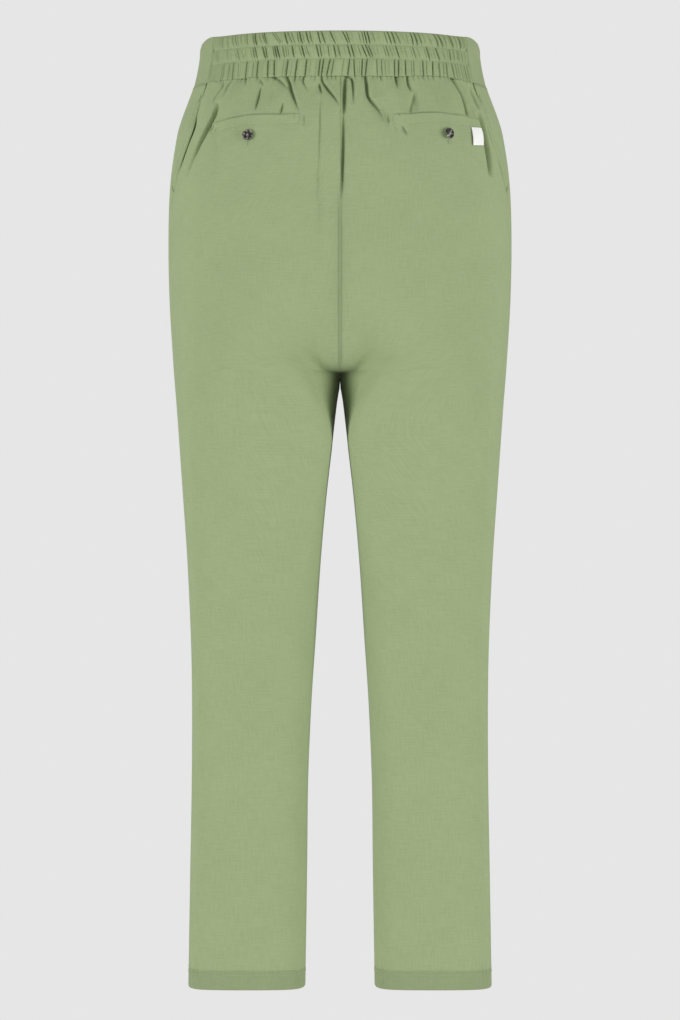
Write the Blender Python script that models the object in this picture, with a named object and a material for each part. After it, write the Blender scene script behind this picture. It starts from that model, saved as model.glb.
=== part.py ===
"""Chinos with a gathered elastic back, hollow and upright in the shape they are worn in.

Frame: metres, +Z up. The front of the trousers faces -Y and the wearer's left is +X.
The origin is the centre of the waist opening, level with the top of the waistband.

Every piece of cloth starts as a flat slab and is draped on one form, which is read in
three cloth coordinates:
  turn  degrees round from the centre back: 90 at the widest point, 180 at the centre
        front, and negative on the wearer's right
  drop  metres below the top of the waistband
  lift  metres out from the face of the form
"""

from bisect import bisect_right
from math import cos, exp, pi, radians, sin
from typing import NamedTuple

import bmesh
import bpy
from mathutils import Matrix, Vector

OBJECT_NAME = "elastic_back_chinos"

# Driving dimensions, in metres.
BAND_HEIGHT = 0.049
HEM_DROP = 1.026
SEAT_DROP = 0.190
CROTCH_DROP = 0.360
THIGH_DROP = 0.440
THIGH_START = 0.260
CLOTH_WALL = 0.0015
BAND_WALL = 0.0030
SEAM_GAP = 0.0003
SEAT_FULLNESS = 0.15
SEAT_CORNER = 7
CROTCH_FOCUS = 18
CORNER_POWER = 3
CORNER_DROP = 0.368
CORNER_RISE = 0.028
CORNER_END = 0.640

# How finely the slabs are cut.
BACK_COLUMNS = 16
FRONT_COLUMNS = 12
FOLD_ROWS = 12
CROTCH_ROWS = 6
LEG_ROWS = 12
PLEATS = 28
FLAT_BAND_COLUMNS = 20

# One degree of turn, laid out flat, near the hip.
DEGREE_OF_CLOTH = 0.0026
# The least turn that still belongs to one side.
CENTRE_TURN = 1e-6


class Section(NamedTuple):
    """One level of the form, with the turn at which its side seam runs."""

    drop: float
    side: float
    inner: float
    back: float
    front: float
    square: float
    seam: float


SECTIONS = (
    Section(drop=0.000, side=0.1505, inner=0.0000, back=0.1040, front=0.0970, square=0.020, seam=61),
    Section(drop=0.007, side=0.1524, inner=0.0000, back=0.1047, front=0.0975, square=0.020, seam=61),
    Section(drop=0.015, side=0.1526, inner=0.0000, back=0.1055, front=0.0980, square=0.020, seam=61),
    Section(drop=0.030, side=0.1549, inner=0.0000, back=0.1070, front=0.0990, square=0.020, seam=61.5),
    Section(drop=0.049, side=0.1599, inner=0.0000, back=0.1090, front=0.1010, square=0.020, seam=62),
    Section(drop=0.060, side=0.1645, inner=0.0000, back=0.1110, front=0.1020, square=0.020, seam=62),
    Section(drop=0.082, side=0.1729, inner=0.0000, back=0.1150, front=0.1044, square=0.020, seam=62),
    Section(drop=0.100, side=0.1780, inner=0.0000, back=0.1180, front=0.1060, square=0.020, seam=62),
    Section(drop=0.150, side=0.1852, inner=0.0000, back=0.1240, front=0.1090, square=0.020, seam=73),
    Section(drop=0.210, side=0.1875, inner=0.0000, back=0.1270, front=0.1100, square=0.020, seam=86),
    Section(drop=0.280, side=0.1863, inner=0.0000, back=0.1235, front=0.1085, square=0.020, seam=90),
    Section(drop=0.350, side=0.1820, inner=0.0000, back=0.1135, front=0.1010, square=0.036, seam=90),
    Section(drop=0.371, side=0.1803, inner=0.0000, back=0.1080, front=0.0970, square=0.054, seam=90),
    Section(drop=0.388, side=0.1787, inner=0.0028, back=0.1040, front=0.0938, square=0.068, seam=90),
    Section(drop=0.432, side=0.1752, inner=0.0080, back=0.0950, front=0.0865, square=0.086, seam=90),
    Section(drop=0.497, side=0.1705, inner=0.0154, back=0.0842, front=0.0778, square=0.096, seam=90),
    Section(drop=0.563, side=0.1661, inner=0.0211, back=0.0742, front=0.0700, square=0.098, seam=90),
    Section(drop=0.650, side=0.1623, inner=0.0267, back=0.0630, front=0.0600, square=0.100, seam=90),
    Section(drop=0.716, side=0.1613, inner=0.0311, back=0.0560, front=0.0540, square=0.098, seam=90),
    Section(drop=0.804, side=0.1618, inner=0.0348, back=0.0490, front=0.0480, square=0.094, seam=90),
    Section(drop=0.891, side=0.1634, inner=0.0358, back=0.0448, front=0.0442, square=0.088, seam=90),
    Section(drop=1.026, side=0.1657, inner=0.0378, back=0.0440, front=0.0440, square=0.080, seam=90),
)


class Fold(NamedTuple):
    """A trough (negative depth) or ridge, deepest at its first turn and drop."""

    start: tuple
    middle: tuple
    end: tuple
    reach: float
    depth: float


FOLDS = (
    Fold(start=(-2, 0.049), middle=(-2, 0.110), end=(0, 0.175), reach=0.008, depth=-0.0045),
    Fold(start=(7, 0.049), middle=(6, 0.110), end=(6, 0.240), reach=0.008, depth=-0.0020),
    Fold(start=(25, 0.049), middle=(17, 0.065), end=(13, 0.088), reach=0.008, depth=-0.0030),
    Fold(start=(48, 0.075), middle=(50, 0.100), end=(59, 0.140), reach=0.009, depth=-0.0045),
    Fold(start=(-9, 0.049), middle=(-9, 0.068), end=(-14, 0.100), reach=0.009, depth=-0.0030),
    Fold(start=(-46, 0.049), middle=(-48, 0.065), end=(-48, 0.090), reach=0.008, depth=-0.0030),
    Fold(start=(-57, 0.049), middle=(-61, 0.085), end=(-58, 0.145), reach=0.009, depth=-0.0045),
    Fold(start=(150, 0.049), middle=(146, 0.080), end=(140, 0.130), reach=0.012, depth=-0.0020),
    Fold(start=(-152, 0.049), middle=(-149, 0.085), end=(-141, 0.120), reach=0.012, depth=-0.0020),
)


class BandRow(NamedTuple):
    """A level of the gathered band and how far its channel puffs out there."""

    drop: float
    puff: float


BAND_ROWS = (
    BandRow(drop=0.0000, puff=0.0),
    BandRow(drop=0.0075, puff=1.0),
    BandRow(drop=0.0150, puff=0.0),
    BandRow(drop=0.0222, puff=0.9),
    BandRow(drop=0.0295, puff=0.0),
    BandRow(drop=0.0390, puff=1.0),
    BandRow(drop=BAND_HEIGHT, puff=0.0),
)
PUFF_DEPTH = 0.0012
PLEAT_DEPTH = 0.0008


class Pocket(NamedTuple):
    """A back pocket: where its welt's upper edge runs, and the turn of its button."""

    inner_turn: float
    outer_turn: float
    inner_drop: float
    outer_drop: float
    button_turn: float


POCKETS = {
    "left": Pocket(inner_turn=13.0, outer_turn=47.0, inner_drop=0.0910, outer_drop=0.0965,
                   button_turn=30.1),
    "right": Pocket(inner_turn=-17.5, outer_turn=-57.5, inner_drop=0.0905, outer_drop=0.0900,
                    button_turn=-36.6),
}
WELT_HEIGHT = 0.0100
WELT_WALL = 0.0012
WELT_COLUMNS = 18
WELT_ROWS = 2
LAID_ON_GAP = 0.0005

BUTTON_DIAMETER = 0.0115
BUTTON_THICKNESS = 0.0026
BUTTON_BELOW_MOUTH = 0.0216
BUTTON_SIDES = 32
BUTTON_EDGE = 0.0006

LABEL_WIDTH = 0.0165
LABEL_HEIGHT = 0.0190
LABEL_WALL = 0.0010
LABEL_TURN = -52.0
LABEL_TOP_DROP = 0.1005
LABEL_COLUMNS = 4
LABEL_ROWS = 4

# Base colour, roughness and metallic value of each material.
CLOTH = ("sage_cotton", (0.330, 0.407, 0.216, 1.0), 0.92, 0.0)
HORN = ("dark_horn", (0.030, 0.028, 0.030, 1.0), 0.35, 0.0)
TAPE = ("white_tape", (0.800, 0.800, 0.780, 1.0), 0.75, 0.0)


def clear_scene():
    """Remove every object that is already in the scene."""
    for item in list(bpy.data.objects):
        bpy.data.objects.remove(item, do_unlink=True)


def section_value(drop, name):
    """One column of the section table at any drop, on a smooth curve through its rows."""
    drops = [row.drop for row in SECTIONS]
    values = [getattr(row, name) for row in SECTIONS]
    last = len(drops) - 1
    drop = min(max(drop, drops[0]), drops[last])
    row = min(bisect_right(drops, drop) - 1, last - 1)

    def slope(at):
        low = max(at - 1, 0)
        high = min(at + 1, last)
        return (values[high] - values[low]) / (drops[high] - drops[low])

    span = drops[row + 1] - drops[row]
    t = (drop - drops[row]) / span
    return ((2 * t**3 - 3 * t**2 + 1) * values[row]
            + (t**3 - 2 * t**2 + t) * span * slope(row)
            + (3 * t**2 - 2 * t**3) * values[row + 1]
            + (t**3 - t**2) * span * slope(row + 1))


def rounded_cos(angle, square):
    """A cosine whose ring is an oval, the squarer the greater square is."""
    return (cos(angle) - square * cos(3 * angle)) / (1 - square)


def rounded_sin(angle, square):
    """The sine that goes with rounded_cos."""
    return (sin(angle) + square * sin(3 * angle)) / (1 - square)


def leg_share(turn, drop):
    """How far the ring round the body has parted into legs: 0 at the seat, 1 on the legs.

    At the centre seams the seat falls almost straight, and turns under at the crotch on a
    squared-off round. Away from them it eases in and goes on below the crotch.
    """
    fall = min(max((drop - SEAT_DROP) / (CROTCH_DROP - SEAT_DROP), 0.0), 1.0)
    ease = min(max((drop - THIGH_START) / (THIGH_DROP - THIGH_START), 0.0), 1.0)
    centre = 1 - (1 - fall**SEAT_CORNER) ** (1 / SEAT_CORNER)
    away = ease * ease * (3 - 2 * ease)
    nearness = max(cos(2 * radians(turn)), 0.0) ** CROTCH_FOCUS
    return away + (centre - away) * nearness


def corner_share(drop):
    """How crisply the inner side of a leg turns back: 1 just under the crotch."""
    above = min(max((CORNER_DROP - drop) / CORNER_RISE, 0.0), 1.0)
    below = min(max((drop - CORNER_DROP) / (CORNER_END - CORNER_DROP), 0.0), 1.0)
    past = above + below
    return 1 - past * past * (3 - 2 * past)


def form_point(turn, drop):
    """A point of the smooth form, without folds or thickness."""
    angle = radians(abs(turn))
    side = section_value(drop, "side")
    inner = section_value(drop, "inner")
    back = section_value(drop, "back")
    front = section_value(drop, "front")
    square = section_value(drop, "square")

    body_y = rounded_cos(angle, square)
    body = Vector((side * rounded_sin(angle, square),
                   body_y * (back if body_y > 0 else front), -drop))

    leg_y = rounded_sin(2 * angle, square)
    across = (1 - rounded_cos(2 * angle, square)) / 2
    inside = min(2 * across, 1.0)
    leg_x = inner + (side - inner) * across * inside ** (CORNER_POWER * corner_share(drop))
    leg = Vector((leg_x, leg_y * (back if leg_y > 0 else front), -drop))

    share = leg_share(turn, drop)
    point = body.lerp(leg, share)
    point.y *= 1 + SEAT_FULLNESS * share * (1 - share)
    if turn < 0:
        point.x = -point.x
    return point


def form_normal(turn, drop):
    """The direction straight out of the form."""
    step_turn = 0.5
    step_drop = 0.002
    sign = -1 if turn < 0 else 1
    near = sign * max(abs(turn) - step_turn, CENTRE_TURN)
    far = sign * min(abs(turn) + step_turn, 180.0)
    around = form_point(far, drop) - form_point(near, drop)
    if abs(turn) < step_turn and drop < SEAT_DROP:
        around = Vector((1, 0, 0)) * sign
    upward = form_point(turn, max(drop - step_drop, 0.0)) - form_point(turn, drop + step_drop)
    normal = around.cross(upward) if turn < 0 else upward.cross(around)
    return normal.normalized()


def fold_lift(turn, drop):
    """How far the folds push the cloth out or in at one place."""
    here = Vector((turn * DEGREE_OF_CLOTH, drop))
    total = 0.0
    for fold in FOLDS:
        places = (fold.start, fold.middle, fold.end)
        knots = [Vector((place[0] * DEGREE_OF_CLOTH, place[1])) for place in places]
        nearest = None
        for half in range(2):
            run = knots[half + 1] - knots[half]
            along = (here - knots[half]).dot(run) / run.length_squared
            along = min(max(along, 0.0), 1.0)
            away = (here - knots[half] - run * along).length
            if nearest is None or away < nearest:
                nearest = away
                travelled = (half + along) / 2
        total += fold.depth * exp(-(nearest / fold.reach) ** 2) * (1 - travelled**2)
    return total


def cloth_point(turn, drop, lift):
    """A point of the folded cloth; the two sides keep a seam's gap at the centre line."""
    turn = (turn + 180) % 360 - 180 if abs(turn) > 180 else turn
    push = lift + fold_lift(turn, drop)
    return form_point(turn, drop) + form_normal(turn, drop) * push


def seam_trim(turn, drop):
    """The turn that half a seam's gap takes up at one place."""
    width = (form_point(turn + 0.5, drop) - form_point(turn - 0.5, drop)).length
    return SEAM_GAP / 2 / width


def panel_rows():
    """Drops of the panels' rows: close where they fold, and even round the crotch curve."""
    top = BAND_HEIGHT + SEAM_GAP
    rows = [top + (SEAT_DROP - top) * i / FOLD_ROWS for i in range(FOLD_ROWS)]
    curve = CROTCH_DROP - SEAT_DROP
    rows += [SEAT_DROP + curve * sin(pi / 2 * i / CROTCH_ROWS) for i in range(CROTCH_ROWS)]
    rows += [CROTCH_DROP + (HEM_DROP - CROTCH_DROP) * i / LEG_ROWS for i in range(LEG_ROWS + 1)]
    return rows


PANEL_ROWS = panel_rows()


def panel_vertex(side, part, column, row, layer):
    """A vertex of a panel: column 0 is at the side seam, layer 0 outside and 1 inside."""
    drop = PANEL_ROWS[row]
    seam = section_value(drop, "seam")
    trim = seam_trim(seam, drop)
    if part == "back":
        first = seam - trim
        last = seam_trim(1.0, drop)
        share = column / BACK_COLUMNS
    else:
        first = seam + trim
        last = 180 - seam_trim(179.0, drop)
        share = column / FRONT_COLUMNS
    turn = first + (last - first) * share
    sign = 1 if side == "left" else -1
    point = cloth_point(sign * turn, drop, -CLOTH_WALL * layer)
    point.x = sign * max(sign * point.x, SEAM_GAP / 2)
    return point


def laid_point(side, turn, drop, lift):
    """A point lifted off a back panel's own facets, for what is sewn on the panel."""
    row = min(max(bisect_right(PANEL_ROWS, drop) - 1, 0), len(PANEL_ROWS) - 2)
    down = (drop - PANEL_ROWS[row]) / (PANEL_ROWS[row + 1] - PANEL_ROWS[row])
    seam = section_value(drop, "seam")
    place = (seam - abs(turn)) / seam * BACK_COLUMNS
    column = min(max(int(place), 0), BACK_COLUMNS - 1)
    across = place - column
    upper = panel_vertex(side, "back", column, row, 0).lerp(
        panel_vertex(side, "back", column + 1, row, 0), across)
    lower = panel_vertex(side, "back", column, row + 1, 0).lerp(
        panel_vertex(side, "back", column + 1, row + 1, 0), across)
    return upper.lerp(lower, down) + form_normal(turn, drop) * lift


def make_material(spec):
    """A Principled material from its name, base colour, roughness and metallic value."""
    name, colour, roughness, metallic = spec
    if name in bpy.data.materials:
        return bpy.data.materials[name]
    material = bpy.data.materials.new(name)
    material.use_nodes = True
    shader = material.node_tree.nodes["Principled BSDF"]
    shader.inputs["Base Color"].default_value = colour
    shader.inputs["Roughness"].default_value = roughness
    shader.inputs["Metallic"].default_value = metallic
    material.diffuse_color = colour
    return material


def add_object(name, mesh, spec, collection):
    """Finish a bmesh as a named object with its material, its faces pointing out."""
    if mesh.calc_volume(signed=True) < 0:
        bmesh.ops.reverse_faces(mesh, faces=mesh.faces[:])
    data = bpy.data.meshes.new(name)
    mesh.to_mesh(data)
    mesh.free()
    data.materials.append(make_material(spec))
    data.shade_smooth()
    data.set_sharp_from_angle(angle=radians(40))
    item = bpy.data.objects.new(name, data)
    collection.objects.link(item)
    return item


def draped_slab(columns, rows, place):
    """A slab of cells, each vertex put where place(column, row, layer) says."""
    mesh = bmesh.new()
    bmesh.ops.create_grid(mesh, x_segments=columns, y_segments=rows, size=0.5)
    bmesh.ops.solidify(mesh, geom=mesh.faces[:], thickness=1.0)
    for vertex in mesh.verts:
        column = round((vertex.co.x + 0.5) * columns)
        row = round((0.5 - vertex.co.y) * rows)
        layer = round(-vertex.co.z)
        vertex.co = place(column, row, layer)
    return mesh


def make_panel(side, part, collection):
    """A front or back panel of one leg, from the band down to the hem."""
    columns = BACK_COLUMNS if part == "back" else FRONT_COLUMNS

    def place(column, row, layer):
        return panel_vertex(side, part, column, row, layer)

    mesh = draped_slab(columns, len(PANEL_ROWS) - 1, place)
    add_object(part + "_" + side, mesh, CLOTH, collection)


def make_waistband_back(collection):
    """The elastic half of the band: three puffed channels, gathered in upright pleats."""
    columns = PLEATS * 2

    def place(column, row, layer):
        level = BAND_ROWS[row]
        seam = section_value(level.drop, "seam")
        edge = seam - seam_trim(seam, level.drop)
        turn = edge * (1 - 2 * column / columns)
        pleat = PLEAT_DEPTH * level.puff * cos(pi * column)
        if layer:
            return cloth_point(turn, level.drop, -BAND_WALL)
        return cloth_point(turn, level.drop, PUFF_DEPTH * level.puff + pleat)

    mesh = draped_slab(columns, len(BAND_ROWS) - 1, place)
    add_object("waistband_back", mesh, CLOTH, collection)


def make_waistband_front(collection):
    """The flat half of the band, round the front from side seam to side seam."""

    def place(column, row, layer):
        drop = BAND_HEIGHT * row
        seam = section_value(drop, "seam")
        edge = seam + seam_trim(seam, drop)
        turn = edge + (360 - 2 * edge) * column / FLAT_BAND_COLUMNS
        return cloth_point(turn, drop, -BAND_WALL * layer)

    mesh = draped_slab(FLAT_BAND_COLUMNS, 1, place)
    add_object("waistband_front", mesh, CLOTH, collection)


def make_welt(side, collection):
    """The narrow strip that finishes a back pocket's mouth, sewn on the back panel."""
    pocket = POCKETS[side]

    def place(column, row, layer):
        share = column / WELT_COLUMNS
        turn = pocket.inner_turn + (pocket.outer_turn - pocket.inner_turn) * share
        drop = pocket.inner_drop + (pocket.outer_drop - pocket.inner_drop) * share**3
        drop += WELT_HEIGHT * row / WELT_ROWS
        return laid_point(side, turn, drop, LAID_ON_GAP + WELT_WALL * (1 - layer))

    mesh = draped_slab(WELT_COLUMNS, WELT_ROWS, place)
    add_object("welt_" + side, mesh, CLOTH, collection)


def make_button(side, collection):
    """A round button with a bevelled rim, flat against the panel below the welt."""
    pocket = POCKETS[side]
    share = (pocket.button_turn - pocket.inner_turn) / (pocket.outer_turn - pocket.inner_turn)
    mouth = pocket.inner_drop + (pocket.outer_drop - pocket.inner_drop) * share**3
    drop = mouth + BUTTON_BELOW_MOUTH
    turn = pocket.button_turn
    centre = laid_point(side, turn, drop, LAID_ON_GAP + BUTTON_THICKNESS / 2)
    facing = form_normal(turn, drop).to_track_quat("Z", "Y").to_matrix().to_4x4()

    mesh = bmesh.new()
    bmesh.ops.create_cone(mesh, cap_ends=True, segments=BUTTON_SIDES,
                          radius1=BUTTON_DIAMETER / 2, radius2=BUTTON_DIAMETER / 2,
                          depth=BUTTON_THICKNESS)
    rims = [edge for edge in mesh.edges if abs(edge.verts[0].co.z - edge.verts[1].co.z) < 1e-6]
    bmesh.ops.bevel(mesh, geom=rims, offset=BUTTON_EDGE, segments=2, profile=0.5, affect="EDGES")
    bmesh.ops.transform(mesh, matrix=Matrix.Translation(centre) @ facing, verts=mesh.verts[:])
    add_object("button_" + side, mesh, HORN, collection)


def make_label(collection):
    """A small bare tape label, sewn on the right back panel under the welt's outer end."""
    width = LABEL_WIDTH / DEGREE_OF_CLOTH

    def place(column, row, layer):
        turn = LABEL_TURN + width * (0.5 - column / LABEL_COLUMNS)
        drop = LABEL_TOP_DROP + LABEL_HEIGHT * row / LABEL_ROWS
        return laid_point("right", turn, drop, LAID_ON_GAP + LABEL_WALL * (1 - layer))

    mesh = draped_slab(LABEL_COLUMNS, LABEL_ROWS, place)
    add_object("label", mesh, TAPE, collection)


clear_scene()
parts = bpy.data.collections.new(OBJECT_NAME)
bpy.context.scene.collection.children.link(parts)
for wearer_side in ("left", "right"):
    make_panel(wearer_side, "back", parts)
    make_panel(wearer_side, "front", parts)
    make_welt(wearer_side, parts)
    make_button(wearer_side, parts)
make_waistband_back(parts)
make_waistband_front(parts)
make_label(parts)
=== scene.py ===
from collections import namedtuple
from functools import partial
import math

import bmesh
import bpy
import numpy as np
from mathutils import Matrix, Vector


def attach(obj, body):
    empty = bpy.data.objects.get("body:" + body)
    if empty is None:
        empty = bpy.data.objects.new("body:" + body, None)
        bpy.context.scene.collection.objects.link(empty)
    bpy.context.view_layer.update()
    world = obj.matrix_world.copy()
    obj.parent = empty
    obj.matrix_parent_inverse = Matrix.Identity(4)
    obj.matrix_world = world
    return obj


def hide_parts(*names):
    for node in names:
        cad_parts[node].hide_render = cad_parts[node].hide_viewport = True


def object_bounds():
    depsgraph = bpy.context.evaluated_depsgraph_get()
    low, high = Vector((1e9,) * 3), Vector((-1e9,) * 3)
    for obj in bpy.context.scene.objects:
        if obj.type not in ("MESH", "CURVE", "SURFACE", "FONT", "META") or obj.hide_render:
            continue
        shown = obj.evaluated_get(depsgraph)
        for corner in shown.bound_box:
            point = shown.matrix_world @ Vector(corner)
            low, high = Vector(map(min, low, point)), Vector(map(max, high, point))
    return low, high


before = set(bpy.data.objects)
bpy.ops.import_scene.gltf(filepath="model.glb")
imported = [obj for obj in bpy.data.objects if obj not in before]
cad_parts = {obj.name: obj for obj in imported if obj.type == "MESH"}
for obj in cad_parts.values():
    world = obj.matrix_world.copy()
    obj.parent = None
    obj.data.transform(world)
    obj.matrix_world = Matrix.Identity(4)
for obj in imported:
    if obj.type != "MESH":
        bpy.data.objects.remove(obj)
cad_low, cad_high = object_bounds()


# ---------------------------------------------------------------------------
# Camera. Level with the middle of the trousers and straight behind them, far
# enough back that the legs are seen with little perspective.
# ---------------------------------------------------------------------------
CAMERA_DISTANCE = 3.3
CAMERA_HEIGHT = -0.5084
CAMERA_LENS_MM = 106.46

camera_data = bpy.data.cameras.new("camera")
camera_data.lens = CAMERA_LENS_MM
camera_data.sensor_width = 36
camera_data.clip_end = 30
camera = bpy.data.objects.new("camera", camera_data)
camera.location = (0, CAMERA_DISTANCE, CAMERA_HEIGHT)
camera.rotation_euler = (math.radians(90), 0, math.radians(180))
bpy.context.scene.collection.objects.link(camera)
bpy.context.scene.camera = camera


# ---------------------------------------------------------------------------
# Studio. A plain pale floor well below the hems, an even pale surround, and large soft
# lamps: one from each side of the back, so that every pleat shows, and one in front.
# ---------------------------------------------------------------------------
SURROUND = "#E6E6E6"
FLOOR_BELOW_HEM = 1.10
FLOOR_RADIUS = 2.7
SURROUND_LIGHT = 0.50
KEY_WATTS = 51.8
FILL_WATTS = 51.3
FRONT_WATTS = 30
LAMP_WIDTH = 1.8


def linear(hex_colour):
    """A linear RGBA colour from an sRGB hex value."""
    values = [int(hex_colour[i:i + 2], 16) / 255 for i in (1, 3, 5)]
    curve = [v / 12.92 if v <= 0.04045 else ((v + 0.055) / 1.055) ** 2.4 for v in values]
    return (*curve, 1.0)


def add_node(tree, kind, settings=None, inputs=None):
    """Add a shader node. Each input is a value, or the socket that feeds it."""
    node = tree.nodes.new(kind)
    for name, value in (settings or {}).items():
        setattr(node, name, value)
    for name, value in (inputs or {}).items():
        if isinstance(value, bpy.types.NodeSocket):
            tree.links.new(value, node.inputs[name])
        else:
            node.inputs[name].default_value = value
    return node


def new_material(name):
    """An empty node material and its tree."""
    material = bpy.data.materials.new(name)
    material.use_nodes = True
    material.node_tree.nodes.clear()
    return material, material.node_tree


def painted_floor():
    """Matt pale studio paint, rolled on, so it is even and hardly glossy."""
    material, tree = new_material("pale_studio_paint")
    place = add_node(tree, "ShaderNodeTexCoord")
    rolled = add_node(tree, "ShaderNodeTexNoise", inputs={
        "Vector": place.outputs["Object"], "Scale": 40.0, "Detail": 2.0})
    bump = add_node(tree, "ShaderNodeBump", inputs={
        "Height": rolled.outputs["Fac"], "Strength": 0.05, "Distance": 0.001})
    shader = add_node(tree, "ShaderNodeBsdfPrincipled", inputs={
        "Base Color": linear("#DEDEDE"), "Roughness": 0.9, "Normal": bump.outputs["Normal"]})
    add_node(tree, "ShaderNodeOutputMaterial", inputs={"Surface": shader.outputs["BSDF"]})
    return material


def mesh_object(name, mesh):
    """Keep a bmesh as an object in the scene."""
    data = bpy.data.meshes.new(name)
    mesh.to_mesh(data)
    mesh.free()
    piece = bpy.data.objects.new(name, data)
    bpy.context.scene.collection.objects.link(piece)
    return piece


floor_mesh = bmesh.new()
bmesh.ops.create_circle(floor_mesh, cap_ends=True, radius=FLOOR_RADIUS, segments=96,
                        matrix=Matrix.Translation((0, 0, cad_low.z - FLOOR_BELOW_HEM)))
floor = mesh_object("studio_floor", floor_mesh)
floor.data.materials.append(painted_floor())


def add_lamp(name, place, watts):
    """A large square soft lamp, aimed at the seat."""
    data = bpy.data.lights.new(name, "AREA")
    data.shape = "SQUARE"
    data.size = LAMP_WIDTH
    data.energy = watts
    lamp = bpy.data.objects.new(name, data)
    lamp.location = place
    aim = Vector((0, 0, CAMERA_HEIGHT)) - Vector(place)
    lamp.rotation_euler = aim.to_track_quat("-Z", "Y").to_euler()
    bpy.context.scene.collection.objects.link(lamp)


add_lamp("key_lamp", (2.47, 1.60, -0.42), KEY_WATTS)
add_lamp("fill_lamp", (-2.47, 1.60, -0.42), FILL_WATTS)
add_lamp("front_lamp", (0.4, -3.0, 0.4), FRONT_WATTS)

world = bpy.data.worlds.new("surround")
world.use_nodes = True
world.node_tree.nodes.clear()
ray = add_node(world.node_tree, "ShaderNodeLightPath")
brightness = add_node(world.node_tree, "ShaderNodeMapRange", inputs={
    "Value": ray.outputs["Is Camera Ray"], "To Min": SURROUND_LIGHT, "To Max": 1.0})
surround = add_node(world.node_tree, "ShaderNodeBackground", inputs={
    "Color": linear(SURROUND), "Strength": brightness.outputs["Result"]})
add_node(world.node_tree, "ShaderNodeOutputWorld", inputs={
    "Surface": surround.outputs["Background"]})
bpy.context.scene.world = world
bpy.context.scene.view_settings.view_transform = "Standard"


# ---------------------------------------------------------------------------
# Back panels. One for each leg, cut from a linen and cotton plain weave, gathered
# into the elastic band, joined down the centre back and along the side and inner
# seams, and turned up at the hem. The other pieces use the same form and cloth.
# ---------------------------------------------------------------------------
# Sizes are in metres unless their name ends in MM. Cloth is placed in three
# coordinates: turn, in degrees round from the centre back, positive on the wearer's
# left; drop, in metres below the top of the waistband; and lift, out from the form.
MM = 0.001
SIGN = {"left": 1, "right": -1}
CENTRE_TURN = 1e-6

# The form: where seat, crotch, thighs and hems lie, and how body turns into leg.
BAND_FOOT = 0.049
SEAT_DROP = 0.190
CROTCH_DROP = 0.360
HEM_DROP = 1.0271
THIGH_START = 0.260
THIGH_DROP = 0.440
SEAT_FULLNESS = 0.15
SEAT_CORNER = 7
CROTCH_FOCUS = 18
CORNER_POWER = 3
CORNER_RISE = 0.028
CORNER_DROP = 0.368
CORNER_END = 0.640

Section = namedtuple("Section", "drop side inner back front square seam")
SECTIONS = (
    Section(0.000, 0.1505, 0.0000, 0.1040, 0.0970, 0.020, 61),
    Section(0.007, 0.1524, 0.0000, 0.1047, 0.0975, 0.020, 61),
    Section(0.015, 0.1526, 0.0000, 0.1055, 0.0980, 0.020, 61),
    Section(0.030, 0.1549, 0.0000, 0.1070, 0.0990, 0.020, 61.5),
    Section(0.049, 0.1599, 0.0000, 0.1090, 0.1010, 0.020, 62),
    Section(0.060, 0.1645, 0.0000, 0.1110, 0.1020, 0.020, 62),
    Section(0.082, 0.1729, 0.0000, 0.1150, 0.1044, 0.020, 62),
    Section(0.100, 0.1780, 0.0000, 0.1180, 0.1060, 0.020, 62),
    Section(0.150, 0.1852, 0.0000, 0.1240, 0.1090, 0.020, 73),
    Section(0.210, 0.1875, 0.0000, 0.1270, 0.1100, 0.020, 86),
    Section(0.280, 0.1863, 0.0000, 0.1235, 0.1085, 0.020, 90),
    Section(0.350, 0.1820, 0.0000, 0.1135, 0.1010, 0.036, 90),
    Section(0.371, 0.1803, 0.0000, 0.1080, 0.0970, 0.054, 90),
    Section(0.388, 0.1787, 0.0028, 0.1040, 0.0938, 0.068, 90),
    Section(0.432, 0.1752, 0.0080, 0.0950, 0.0865, 0.086, 90),
    Section(0.497, 0.1705, 0.0154, 0.0842, 0.0778, 0.096, 90),
    Section(0.563, 0.1661, 0.0211, 0.0742, 0.0700, 0.098, 90),
    Section(0.650, 0.1623, 0.0267, 0.0630, 0.0600, 0.100, 90),
    Section(0.716, 0.1613, 0.0311, 0.0560, 0.0540, 0.098, 90),
    Section(0.804, 0.1618, 0.0348, 0.0490, 0.0480, 0.094, 90),
    Section(0.891, 0.1634, 0.0358, 0.0448, 0.0442, 0.088, 90),
    Section(1.026, 0.1657, 0.0378, 0.0440, 0.0440, 0.080, 90),
)


def section_at(name, drop):
    """One column of the section table at any drops, on a smooth curve through its rows."""
    drops = np.array([row.drop for row in SECTIONS])
    values = np.array([getattr(row, name) for row in SECTIONS])
    low = np.r_[0, np.arange(len(drops) - 1)]
    high = np.r_[np.arange(1, len(drops)), len(drops) - 1]
    slopes = (values[high] - values[low]) / (drops[high] - drops[low])
    drop = np.clip(drop, drops[0], drops[-1])
    row = np.clip(np.searchsorted(drops, drop, side="right") - 1, 0, len(drops) - 2)
    span = drops[row + 1] - drops[row]
    t = (drop - drops[row]) / span
    return ((2 * t**3 - 3 * t**2 + 1) * values[row]
            + (t**3 - 2 * t**2 + t) * span * slopes[row]
            + (3 * t**2 - 2 * t**3) * values[row + 1]
            + (t**3 - t**2) * span * slopes[row + 1])


def between(start, end, share):
    """The value at a share of the way from start to end."""
    return start + (end - start) * share


def bell(distance, reach, power=2):
    """1 at no distance, falling to a third at reach."""
    return np.exp(-(distance / reach) ** power)


def ramp(value, start, end):
    """0 at start and before, 1 at end and beyond."""
    return np.clip((value - start) / (end - start), 0, 1)


def eased(share):
    """A share from 0 to 1 that leaves and arrives gently."""
    return share**2 * (3 - 2 * share)


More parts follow.
